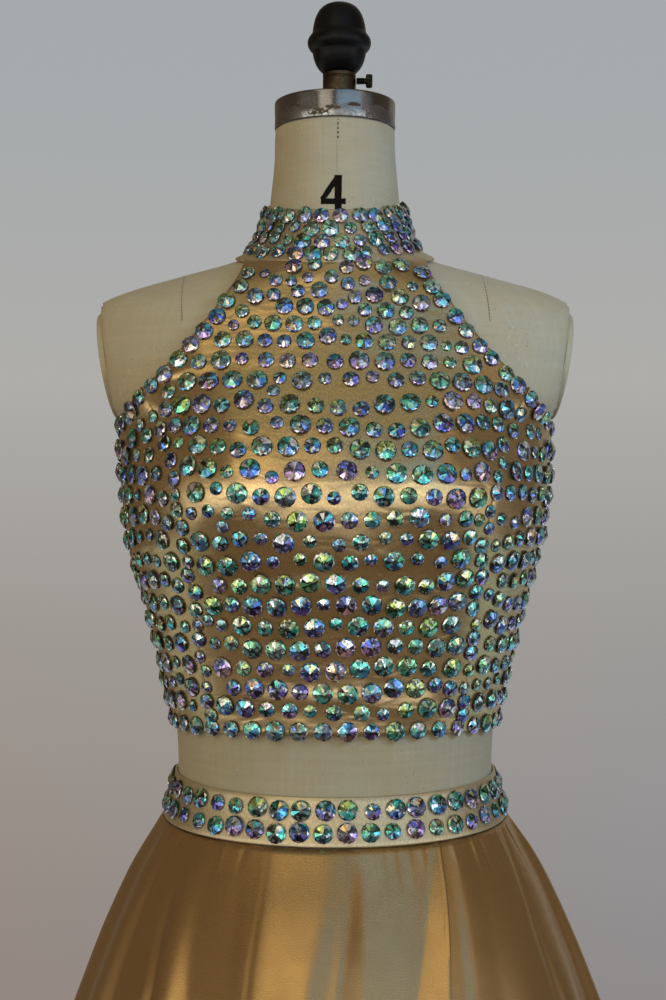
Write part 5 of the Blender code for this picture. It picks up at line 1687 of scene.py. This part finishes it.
# Fittings on the neck
FITTING_X = 3.0 * MM
SOCKET_RADIUS = 11.5 * MM
SOCKET_TOP = 1.5498
CAP_THICKNESS = 3.0 * MM
SCREW_HEIGHT = 1.5446
SCREW_SHAFT_RADIUS = 2.4 * MM
SCREW_HEAD_RADIUS = 4.7 * MM
SCREW_HEAD_START = 21.5 * MM
SCREW_HEAD_END = 26.0 * MM
SCREW_SIDES = 48
KNOB_PROFILE = (
    (0.0000, 1.5500), (0.0108, 1.5500), (0.0117, 1.5502), (0.0130, 1.5514), (0.0146, 1.5532),
    (0.0162, 1.5557), (0.0173, 1.5584), (0.0181, 1.5612), (0.0186, 1.5640), (0.0190, 1.5648),
    (0.0199, 1.5656), (0.0208, 1.5667), (0.0215, 1.5680), (0.0220, 1.5696), (0.0221, 1.5712),
    (0.0218, 1.5728), (0.0211, 1.5743), (0.0201, 1.5757), (0.0191, 1.5770), (0.0186, 1.5780),
    (0.0184, 1.5800), (0.0179, 1.5832), (0.0171, 1.5866), (0.0159, 1.5898), (0.0142, 1.5928),
    (0.0122, 1.5950), (0.0098, 1.5966), (0.0071, 1.5977), (0.0042, 1.5983), (0.0000, 1.5985),
)


def ring_band(looks):
    """The steel band round the top of the neck, its lip turned in over the top."""
    edge, lip = 0.5 * MM, 5.0 * MM
    under_lip = RING_TOP - RING_WALL * 0.4
    section = (
        (edge, RING_BOTTOM), (edge * 0.3, RING_BOTTOM + edge * 0.3), (0.0, RING_BOTTOM + edge),
        (0.15 * MM, RING_BOTTOM + 6 * MM), (0.0, RING_BOTTOM + 12 * MM),
        (0.0, RING_TOP - edge * 3.0), (0.0, RING_TOP - edge * 2.2),
        (edge * 0.5, RING_TOP - edge * 0.9), (edge * 2.0, RING_TOP), (lip, RING_TOP),
        (lip, under_lip), (RING_WALL, under_lip), (RING_WALL, RING_BOTTOM),
    )
    bm = solid_of_turn([(RING_HALF_WIDTH - inward, height) for inward, height in section], 144,
                       closed=True)
    for vert in bm.verts:
        away = math.hypot(vert.co.x, vert.co.y)
        vert.co.y *= (away + RING_HALF_DEPTH - RING_HALF_WIDTH) / away
    finish_piece(bm, "steel_neck_band", looks["ring"], "neck_ring", sharp_angle=50)


def brass_socket(looks):
    """The knob's socket, on a flange over the neck, with a groove near its top."""
    floor = FORM_SECTIONS[0][0] + SEAM_GAP
    cap = floor + CAP_THICKNESS
    flange = SOCKET_RADIUS + 5 * MM
    groove = SOCKET_RADIUS - 0.5 * MM
    profile = ((0.0, floor), (flange - 0.4 * MM, floor), (flange, floor + 0.4 * MM),
               (flange, cap - 0.6 * MM), (flange - 0.6 * MM, cap),
               (SOCKET_RADIUS + 0.8 * MM, cap), (SOCKET_RADIUS, cap + 0.8 * MM),
               (SOCKET_RADIUS, SOCKET_TOP - 4.2 * MM), (groove, SOCKET_TOP - 3.8 * MM),
               (groove, SOCKET_TOP - 3.2 * MM), (SOCKET_RADIUS, SOCKET_TOP - 2.8 * MM),
               (SOCKET_RADIUS, SOCKET_TOP - 0.6 * MM), (SOCKET_RADIUS - 0.6 * MM, SOCKET_TOP),
               (0.0, SOCKET_TOP))
    turned_piece("brass_socket", profile, 72, looks["brass"], "knob_socket", 35,
                 aside=FITTING_X)


def turned_knob(looks):
    """The bulb knob, turned with a bead round its middle."""
    turned_piece("turned_knob", KNOB_PROFILE, 96, looks["knob"], "bulb_knob", 80,
                 aside=FITTING_X)


def thumb_screw(looks):
    """The screw in the socket's side: thread, shaft and a head with a knurled edge."""
    start = SOCKET_RADIUS + SEAM_GAP
    head, end = SCREW_HEAD_START - FITTING_X, SCREW_HEAD_END - FITTING_X
    profile = [(0.0, start), (SCREW_SHAFT_RADIUS * 0.8, start)]
    place = start
    while place < head - 1.4 * MM:
        profile += [(SCREW_SHAFT_RADIUS, place + 0.35 * MM),
                    (SCREW_SHAFT_RADIUS * 0.84, place + 0.8 * MM)]
        place += 0.9 * MM
    profile += [(SCREW_SHAFT_RADIUS * 0.9, head), (SCREW_HEAD_RADIUS * 0.86, head),
                (SCREW_HEAD_RADIUS, head + 0.8 * MM), (SCREW_HEAD_RADIUS, end - 0.8 * MM),
                (SCREW_HEAD_RADIUS * 0.86, end), (0.0, end)]
    bm = solid_of_turn(profile, SCREW_SIDES)
    for vert in bm.verts:
        if math.hypot(vert.co.x, vert.co.y) > SCREW_HEAD_RADIUS * 0.97:
            around = math.atan2(vert.co.y, vert.co.x) / (2 * math.pi)
            cut = 1 - 0.045 * (round(around * SCREW_SIDES) % 2)
            vert.co.x *= cut
            vert.co.y *= cut
    turn_and_move(bm, "Y", math.pi / 2, (FITTING_X, 0, SCREW_HEIGHT))
    finish_piece(bm, "knurled_thumb_screw", looks["screw"], "thumb_screw",
                 "thumb_screw", 30)


# Closings at the centre back
BUTTON_RADIUS = 4.8 * MM
BUTTON_HEIGHT = 3.4 * MM
BUTTON_LIFT = 0.7 * MM
TAPE_THICKNESS = 0.7 * MM
TOOTH_PITCH = 0.95 * MM
TOOTH_RADIUS = 0.34 * MM
TOOTH_LENGTH = 1.5 * MM
SLIDER_LENGTH = 8.0 * MM
SLIDER_HALF_WIDTH = 2.6 * MM
SLIDER_THICKNESS = 2.2 * MM
PULL_LENGTH = 24.0 * MM
PULL_HALF_WIDTH = 2.8 * MM
PULL_THICKNESS = 1.1 * MM
PULL_GAP = 0.35 * MM


def button(word, share, looks):
    """A small domed button covered with satin, at a share of the collar's height."""
    middle = np.array(math.pi)
    lower, seat, upper = (Vector(collar_outside(middle, np.array(share + step)))
                          for step in (-0.2, 0.0, 0.2))
    slope = upper - lower
    normal = Vector((0, slope.z, -slope.y)).normalized()
    profile = [(0.0, 0.0), (BUTTON_RADIUS * 0.80, 0.0), (BUTTON_RADIUS * 0.93, BUTTON_HEIGHT * 0.08),
               (BUTTON_RADIUS, BUTTON_HEIGHT * 0.3)]
    for part in range(1, 13):
        turn = math.pi / 2 * part / 12
        profile.append((max(BUTTON_RADIUS * math.cos(turn), 0.0),
                        BUTTON_HEIGHT * (0.3 + 0.7 * math.sin(turn))))
    bm = solid_of_turn(profile, 48)
    lay_threads(bm, 0, 1)
    tilt = Vector((0, 0, 1)).rotation_difference(normal).to_matrix()
    bmesh.ops.rotate(bm, cent=(0, 0, 0), matrix=tilt, verts=bm.verts[:])
    bmesh.ops.translate(bm, vec=seat + normal * BUTTON_LIFT, verts=bm.verts[:])
    finish_piece(bm, "covered_button_" + word, looks["band"],
                 "collar_button_" + word, sharp_angle=70)


def zip_tape(name, points, normals, looks):
    """The woven tape behind the teeth."""
    bm = bmesh.new()
    steps = len(points) - 1
    made = bmesh.ops.create_grid(bm, x_segments=4, y_segments=steps, size=1.0)
    for vert in made["verts"]:
        row = round((vert.co.y + 1) / 2 * steps)
        vert.co = (points[row] - normals[row] * TAPE_THICKNESS
                   + Vector((vert.co.x * ZIP_HALF_WIDTH, 0, 0)))
    bmesh.ops.solidify(bm, geom=bm.faces[:], thickness=TAPE_THICKNESS)
    bmesh.ops.recalc_face_normals(bm, faces=bm.faces[:])
    finish_piece(bm, name + "_tape", looks["zip_tape"], name, sharp_angle=40)


def zip_teeth(name, points, normals, looks):
    """Coil teeth that mesh from both sides down the middle."""
    bm = bmesh.new()
    run = run_along(np.array(points))
    side = 1
    for spot in np.arange(TOOTH_PITCH, run[-1] - TOOTH_PITCH, TOOTH_PITCH):
        row = int(np.searchsorted(run, spot)) - 1
        share = (spot - run[row]) / (run[row + 1] - run[row])
        place = points[row].lerp(points[row + 1], share)
        tooth = bmesh.ops.create_cone(bm, cap_ends=True, segments=8, radius1=TOOTH_RADIUS,
                                      radius2=TOOTH_RADIUS, depth=TOOTH_LENGTH)["verts"]
        turn = Matrix.Rotation(math.pi / 2 + 0.25 * side, 3, "Y")
        bmesh.ops.rotate(bm, cent=(0, 0, 0), matrix=turn, verts=tooth)
        sunk = place - normals[row] * 0.42 * MM
        bmesh.ops.translate(bm, vec=sunk + Vector((0.3 * side * MM, 0, 0)), verts=tooth)
        side = -side
    finish_piece(bm, name + "_teeth", looks["zip_metal"])


def zip_slider(name, top_point, lean, looks):
    """A rounded slider, narrower at its lower end."""
    bm = bmesh.new()
    bmesh.ops.create_cube(bm, size=1.0)
    bmesh.ops.scale(bm, vec=(2 * SLIDER_HALF_WIDTH, SLIDER_THICKNESS, SLIDER_LENGTH),
                    verts=bm.verts[:])
    for vert in bm.verts:
        if vert.co.z < 0:
            vert.co.x *= 0.62
    ease_edges(bm, bm.edges[:], 0.6 * MM, 4)
    bmesh.ops.translate(bm, vec=(0, SLIDER_THICKNESS / 2, -SLIDER_LENGTH / 2), verts=bm.verts[:])
    turn_and_move(bm, "X", lean, top_point)
    finish_piece(bm, name + "_slider_body", looks["zip_metal"], name + "_slider",
                 sharp_angle=40)


def zip_pull(name, pivot, lean, looks):
    """A teardrop pull tab with a rounded edge."""
    bm = bmesh.new()
    made = bmesh.ops.create_circle(bm, cap_ends=True, segments=48, radius=1.0)
    for vert in made["verts"]:
        down = 0.5 - 0.5 * vert.co.x
        vert.co = (vert.co.y * blend(0.55, 1.0, down) * PULL_HALF_WIDTH, 0, -down * PULL_LENGTH)
    copy = bmesh.ops.extrude_face_region(bm, geom=bm.faces[:], use_keep_orig=True)
    moved = [item for item in copy["geom"] if isinstance(item, bmesh.types.BMVert)]
    bmesh.ops.translate(bm, vec=(0, PULL_THICKNESS, 0), verts=moved)
    rims = [edge for edge in bm.edges if len(edge.link_faces) == 2
            and max(len(face.verts) for face in edge.link_faces) > 4]
    ease_edges(bm, rims, 0.25 * MM, 2)
    bmesh.ops.translate(bm, vec=(0, -PULL_THICKNESS / 2, PULL_THICKNESS * 0.4), verts=bm.verts[:])
    bmesh.ops.recalc_face_normals(bm, faces=bm.faces[:])
    turn_and_move(bm, "X", lean, pivot)
    finish_piece(bm, name + "_pull_tab", looks["zip_metal"], name + "_pull",
                 name + "_pull", 40)


def closed_zip(name, points, normals, top_point, lean, looks):
    """A closed zip along a line of points: tape, teeth, slider and pull tab."""
    zip_tape(name, points, normals, looks)
    zip_teeth(name, points, normals, looks)
    zip_slider(name, top_point, lean, looks)
    out = SLIDER_THICKNESS + PULL_GAP + PULL_THICKNESS / 2
    pivot = top_point + Matrix.Rotation(lean, 3, "X") @ Vector((0, out, -SLIDER_LENGTH * 0.35))
    zip_pull(name, pivot, lean, looks)


def vectors(rows):
    return [Vector(row) for row in rows]


def top_zip(looks):
    """The top's zip, from its hem to just under the back's upper edge."""
    heights = np.linspace(float(hem_height(math.pi)), BACK_TOP - SLIDER_LENGTH * 0.2, 60)
    back = np.full(60, math.pi)
    points = moved_out(cloth_surface, back, heights, TOP_OUT)
    normals = outward(cloth_surface, back, heights)
    top_point = moved_out(cloth_surface, np.array(math.pi), np.array(BACK_TOP), TOP_OUT + SEAM_GAP)
    closed_zip("top_zip", vectors(points), vectors(normals), Vector(top_point), 0.0, looks)


def skirt_zip(looks):
    """The skirt's zip, up its centre-back seam and on through the band."""
    downs = np.linspace(ZIP_END_DOWN - 0.001, 0.012, 90)
    points = skirt_surface(np.full(90, 180.0), downs)
    slopes = points - skirt_surface(np.full(90, 180.0), downs + 0.01)
    normals = [Vector((0, slope[2], -slope[1])).normalized() for slope in slopes]
    shares = np.linspace(0.04, 0.97, 24)
    back = np.full(24, math.pi)
    points = vectors(points) + vectors(band_outside(back, shares))
    normals += vectors(outward(band_outside, back, shares))
    lower, upper = (
        moved_out(form_surface, np.array(math.pi), np.array(height + BAND_TILT),
                  BAND_OUT + SEAM_GAP + spread)
        for height, spread in ((BAND_BOTTOM, BAND_SPREAD), (BAND_TOP, 0.0)))
    lean = math.atan2(lower[1] - upper[1], upper[2] - lower[2])
    closed_zip("skirt_zip", points, normals, Vector(upper), lean, looks)


# The stand
BASE_RADIUS = 0.220
BASE_EDGE = 0.012
BASE_CROWN = 0.024
BOSS_RADIUS = 0.034
BOSS_TOP = 0.060
POLE_RADIUS = 0.016
POLE_SEAT = 0.024
BOARD_THICKNESS = 0.012
BOARD_INSET = 0.006
SOCKET_LENGTH = 0.038
SOCKET_OUTER = 0.024
FLANGE_RADIUS = 0.048
FLANGE_THICKNESS = 0.005
RUNNING_GAP = 0.40 * MM
FORM_BOTTOM = 0.8200
FLANGE_TOP = FORM_BOTTOM - 2 * SEAM_GAP - BOARD_THICKNESS
STAND_SIDES = 128
SCREW_CIRCLE = 0.036


def underside_board(looks):
    """The wooden board under the torso, its edges eased."""
    top = FORM_BOTTOM - SEAM_GAP
    bottom = top - BOARD_THICKNESS
    angle = np.linspace(-math.pi, math.pi, STAND_SIDES + 1)[:-1]
    edge = form_surface(angle, np.full(STAND_SIDES, FORM_BOTTOM))
    away = edge[:, :2] / np.linalg.norm(edge[:, :2], axis=1, keepdims=True)
    rows = []
    for height, inset in ((bottom, 2.0 * MM), (bottom + 0.6 * MM, 0.6 * MM),
                          (bottom + 2.0 * MM, 0.0), (top - 0.5 * MM, 0.0), (top, 0.5 * MM)):
        row = edge.copy()
        row[:, :2] -= away * (BOARD_INSET + inset)
        row[:, 2] = height
        rows.append(row)
    wrapped(np.array(rows), "plywood_board", looks["wood"], "underside_board",
            (0.9, 0.02))


def flanged_tube(looks):
    """The tube that turns on the pole, its flange screwed to the board."""
    top = FLANGE_TOP
    bottom = top - SOCKET_LENGTH
    under = top - FLANGE_THICKNESS
    inner = POLE_RADIUS + RUNNING_GAP
    profile = ((inner, bottom), (SOCKET_OUTER - 0.8 * MM, bottom), (SOCKET_OUTER, bottom + 0.8 * MM),
               (SOCKET_OUTER, under - 3 * MM), (SOCKET_OUTER + 3 * MM, under),
               (FLANGE_RADIUS - 0.8 * MM, under), (FLANGE_RADIUS, under + 0.8 * MM),
               (FLANGE_RADIUS, top), (inner, top), (inner, bottom))
    turned_piece("flanged_tube", profile, STAND_SIDES, looks["iron"], "pole_socket",
                 35)
    bm = bmesh.new()
    for quarter in range(4):
        turn = math.pi / 4 + math.pi / 2 * quarter
        head = bmesh.ops.create_uvsphere(bm, u_segments=20, v_segments=12, radius=3.6 * MM)
        bmesh.ops.scale(bm, vec=(1, 1, 0.45), verts=head["verts"])
        bmesh.ops.translate(bm, verts=head["verts"], vec=(
            SCREW_CIRCLE * math.cos(turn), SCREW_CIRCLE * math.sin(turn), under))
    finish_piece(bm, "flange_screws", looks["pole"])


def stand_base(looks):
    """The cast base: an eased rim, a low crown and the boss that holds the pole."""
    bore = POLE_RADIUS + SEAM_GAP
    profile = (
        (0.0, 0.0), (BASE_RADIUS - 2 * MM, 0.0), (BASE_RADIUS - 0.5 * MM, 0.6 * MM),
        (BASE_RADIUS, 2 * MM), (BASE_RADIUS, BASE_EDGE - 1 * MM),
        (BASE_RADIUS - 1.2 * MM, BASE_EDGE + 1.4 * MM), (BASE_RADIUS - 5 * MM, BASE_EDGE + 4 * MM),
        (BASE_RADIUS * 0.80, BASE_EDGE + 7 * MM), (BASE_RADIUS * 0.55, BASE_CROWN - 2 * MM),
        (BOSS_RADIUS + 12 * MM, BASE_CROWN), (BOSS_RADIUS + 6 * MM, BASE_CROWN + 2 * MM),
        (BOSS_RADIUS + 3 * MM, BASE_CROWN + 5 * MM), (BOSS_RADIUS + 1 * MM, BASE_CROWN + 9 * MM),
        (BOSS_RADIUS, BASE_CROWN + 14 * MM), (BOSS_RADIUS, BOSS_TOP - 3 * MM),
        (BOSS_RADIUS - 0.9 * MM, BOSS_TOP - 0.9 * MM), (BOSS_RADIUS - 3 * MM, BOSS_TOP),
        (bore, BOSS_TOP), (bore, POLE_SEAT), (0.0, POLE_SEAT))
    turned_piece("cast_base", profile, STAND_SIDES, looks["iron"], "stand_base", 45,
                 STAND_BODY)


def stand_pole(looks):
    """The polished pole, its ends eased."""
    top = FLANGE_TOP - SEAM_GAP
    bottom = POLE_SEAT + SEAM_GAP
    profile = ((0.0, bottom), (POLE_RADIUS - 1 * MM, bottom), (POLE_RADIUS, bottom + 1 * MM),
               (POLE_RADIUS, top - 1 * MM), (POLE_RADIUS - 0.3 * MM, top - 0.3 * MM),
               (POLE_RADIUS - 1 * MM, top), (0.0, top))
    turned_piece("polished_pole", profile, 96, looks["pole"], "stand_pole", 35,
                 STAND_BODY)


# Light, floor and camera
# Bright parts of the studio: degrees round from the front, degrees above the horizon,
# how soft their edges are in degrees, and their light
SKY_PATCHES = (
    ((-54.0, 26.0), (-6.0, 8.0), (12.0, 4.0), (0.98, 0.88, 0.66)),
    ((-42.0, -1.0), (18.0, 47.0), (2.5, 4.0), (1.10, 0.96, 0.55)),
    ((2.5, 45.0), (18.0, 47.0), (2.0, 4.0), (0.19, 0.48, 0.82)),
    ((49.0, 62.0), (14.0, 50.0), (2.5, 4.0), (0.45, 0.335, 0.160)),
    ((-60.0, 62.0), (51.0, 76.0), (16.0, 5.0), (0.25, 0.30, 0.21)),
    ((128.0, 190.0), (-40.0, 70.0), (8.0, 12.0), (0.16, 0.18, 0.18)),
)
# Parts that only shiny surfaces mirror
MIRRORED_PATCHES = (
    ((-78.0, 78.0), (-17.0, 3.0), (14.0, 3.0), (0.74, 0.78, 0.76)),
    ((-90.0, 90.0), (-18.0, -3.0), (6.0, 3.0), (0.34, 0.37, 0.38)),
    ((-84.0, -42.0), (-14.0, 8.0), (8.0, 4.0), (0.66, 0.60, 0.46)),
    ((42.0, 84.0), (-14.0, 8.0), (8.0, 4.0), (0.62, 0.64, 0.58)),
    ((-31.0, -6.0), (-6.0, 15.5), (5.0, 2.5), (1.25, 1.10, 0.90)),
    ((-72.0, -36.0), (-6.0, 15.5), (8.0, 2.5), (0.13, 0.13, 0.12)),
    ((3.0, 52.0), (-6.0, 15.5), (6.0, 2.5), (0.52, 0.80, 1.02)),
    ((54.0, 74.0), (-6.0, 15.5), (8.0, 2.5), (0.16, 0.22, 0.28)),
    ((-152.0, -80.0), (-56.0, -18.0), (8.0, 3.0), (0.40, 0.52, 0.48)),
    ((80.0, 152.0), (-56.0, -18.0), (8.0, 3.0), (0.32, 0.56, 0.64)),
)
# The backdrop's colours from its lower to its upper edge, in degrees above the horizon;
# painted shade makes it darker towards its lower edge
BACKDROP_LEVELS = (-24.0, 20.0)
BACKDROP_STOPS = (
    (0.0, (0.272, 0.232, 0.209)), (0.16, (0.285, 0.258, 0.245)), (0.42, (0.345, 0.326, 0.305)),
    (0.62, (0.425, 0.418, 0.402)), (0.86, (0.386, 0.405, 0.416)), (1.0, (0.378, 0.401, 0.421)),
)


def studio_light(tree, x, y, high):
    """The soft patches that light the gown and the ones that it only mirrors."""
    round_to = tree.times(tree.math("ARCTAN2", x, tree.times(y, -1.0)), 180 / math.pi)
    behind = tree.times(tree.math("LESS_THAN", round_to, 0.0), 360.0)
    from_behind = tree.math("ADD", round_to, behind)

    def window(value, low, high, soft):
        return tree.times(tree.remap(value, low - soft, low + soft, soft=True),
                          tree.remap(value, high + soft, high - soft, soft=True))

    lit = tree.mix(tree.remap(high, -60.0, 60.0), (0.135, 0.096, 0.055), (0.165, 0.122, 0.078))
    glossy = tree.add("ShaderNodeLightPath").outputs["Is Glossy Ray"]
    for patches, share in ((SKY_PATCHES, 1.0), (MIRRORED_PATCHES, glossy)):
        for sides, levels, (side_edge, level_edge), tone in patches:
            turn = from_behind if sides[1] > 180.0 else round_to
            patch = tree.times(window(turn, *sides, side_edge), window(high, *levels, level_edge))
            light = tree.mix(tree.times(patch, share), (0, 0, 0), tone)
            lit = tree.mix(1.0, lit, light, "ADD")
    return lit


def backdrop(tree, x, high):
    """A soft grey-blue wall with painted light: darker towards its lower edge, warm on its lower
    left and cool on its lower right.
    """
    seen = tree.add("ShaderNodeValToRGB", {0: tree.remap(high, *BACKDROP_LEVELS)})
    elements = seen.color_ramp.elements
    elements.remove(elements[1])
    elements[0].color = (*BACKDROP_STOPS[0][1], 1.0)
    for position, tone in BACKDROP_STOPS[1:]:
        elements.new(position).color = (*tone, 1.0)
    wall = seen.outputs[0]
    sides = tree.mix(tree.remap(x, -0.22, 0.22), (1.05, 0.98, 0.93), (0.98, 1.04, 1.12))
    return tree.mix(tree.remap(high, 0.0, -14.0), wall, tree.mix(1.0, wall, sides, "MULTIPLY"))


def sky():
    """A studio as the cloth sees it, and a backdrop that only the camera sees."""
    world = bpy.data.worlds.new("studio")
    bpy.context.scene.world = world
    world.use_nodes = True
    world.node_tree.nodes.clear()
    tree = Tree(world.node_tree)
    toward = tree.add("ShaderNodeTexCoord").outputs["Generated"]
    x, y, z = tree.add("ShaderNodeSeparateXYZ", {0: toward}).outputs
    high = tree.times(tree.math("ARCSINE", z), 180 / math.pi)
    camera_ray = tree.add("ShaderNodeLightPath").outputs["Is Camera Ray"]
    shown = tree.mix(camera_ray, studio_light(tree, x, y, high), backdrop(tree, x, high))
    shade = tree.add("ShaderNodeBackground", {0: shown, 1: 1.0})
    tree.join(shade.outputs[0], tree.add("ShaderNodeOutputWorld").inputs[0])


# Lamps: place, width and height in metres, power in watts and colour
LIGHTS = (
    ("key_light", (-1.2, -2.9, 1.80), 1.30, 1.00, 8.5, (1.0, 0.90, 0.76)),
    ("fill_light", (1.7, -2.5, 1.70), 1.30, 1.10, 10.5, (0.80, 0.96, 1.0)),
    ("back_light", (0.6, 2.8, 2.4), 0.80, 0.80, 7.0, (1.0, 0.97, 0.93)),
)
LIGHT_AIM = Vector((0, 0, 1.25))
# Small lamps beside the neck light its linen
NECK_LIGHTS = (
    ("neck_light_left", (-0.50, -0.50, 1.50), 0.15, 0.15, 0.55, (1.0, 0.70, 0.46)),
    ("neck_light_right", (0.52, -0.48, 1.50), 0.15, 0.15, 2.0, (0.50, 0.68, 1.0)),
)
NECK_AIM = Vector((0, 0, 1.48))


def lights(rows, aim):
    """Lamps that point at a place and aren't mirrored themselves."""
    for name, place, wide, tall, power, tint in rows:
        lamp = bpy.data.lights.new(name, "AREA")
        lamp.shape = "RECTANGLE"
        lamp.size, lamp.size_y = wide, tall
        lamp.energy = power
        lamp.color = tint
        stand_in = bpy.data.objects.new(name, lamp)
        stand_in.location = place
        stand_in.visible_glossy = False
        stand_in.rotation_euler = (aim - Vector(place)).to_track_quat("-Z", "Y").to_euler()
        bpy.context.collection.objects.link(stand_in)


def floor_material():
    """Pale, faintly mottled, and clear towards its rim."""
    tree = start_material("pale_floor", Specular_IOR_Level=0.2)
    place = own_place(tree)
    mottle = tree.noise(place, 3.0, 4.0, 0.6)
    grain = tree.noise(place, 220.0, 2.0, 0.6)
    base = tree.mix(tree.remap(mottle, 0.3, 0.7), (0.60, 0.59, 0.57), (0.64, 0.63, 0.61))
    fade = tree.remap(tree.vector("LENGTH", place), 2.35, 1.3, soft=True)
    return finish_material(tree, Base_Color=base, Alpha=fade,
                           Roughness=tree.remap(grain, 0.3, 0.7, 0.75, 0.85))


def floor():
    """A pale floor that fades into the backdrop at its rim."""
    bm = bmesh.new()
    bmesh.ops.create_circle(bm, cap_ends=True, segments=128, radius=2.4)
    bmesh.ops.translate(bm, verts=bm.verts[:], vec=(0, 0, -0.5 * MM))
    mesh = bpy.data.meshes.new("studio_floor")
    bm.to_mesh(mesh)
    bm.free()
    mesh.materials.append(floor_material())
    ground = bpy.data.objects.new("studio_floor", mesh)
    bpy.context.collection.objects.link(ground)
    ground.visible_glossy = False


CAMERA_PLACE = (-0.0014, -1.05, 1.274)
CAMERA_PITCH = -1.15
SENSOR_WIDTH = 24
FOCAL_LENGTH = 36


def camera():
    """The photo's view: level with the chest, tipped down a little."""
    lens = bpy.data.cameras.new("camera")
    lens.sensor_fit = "AUTO"
    lens.sensor_width = SENSOR_WIDTH
    lens.lens = FOCAL_LENGTH
    lens.clip_start = 0.05
    lens.clip_end = 50
    eye = bpy.data.objects.new("camera", lens)
    eye.location = CAMERA_PLACE
    eye.rotation_euler = (math.radians(90 + CAMERA_PITCH), 0, 0)
    bpy.context.collection.objects.link(eye)
    bpy.context.scene.camera = eye


def main():
    camera()
    sky()
    lights(LIGHTS, LIGHT_AIM)
    lights(NECK_LIGHTS, NECK_AIM)
    floor()
    bpy.context.scene.view_settings.view_transform = "Standard"
    looks = make_materials()
    for make in (crop_top, stand_collar, waist_band, skirt, crystals, form_cover, form_seams,
                 numeral):
        make(looks)
    arm_plate(-1, "left", looks)
    arm_plate(1, "right", looks)
    for make in (ring_band, brass_socket, turned_knob, thumb_screw, top_zip, skirt_zip):
        make(looks)
    button("upper", 0.72, looks)
    button("lower", 0.28, looks)
    for make in (underside_board, flanged_tube, stand_base, stand_pole):
        make(looks)


main()
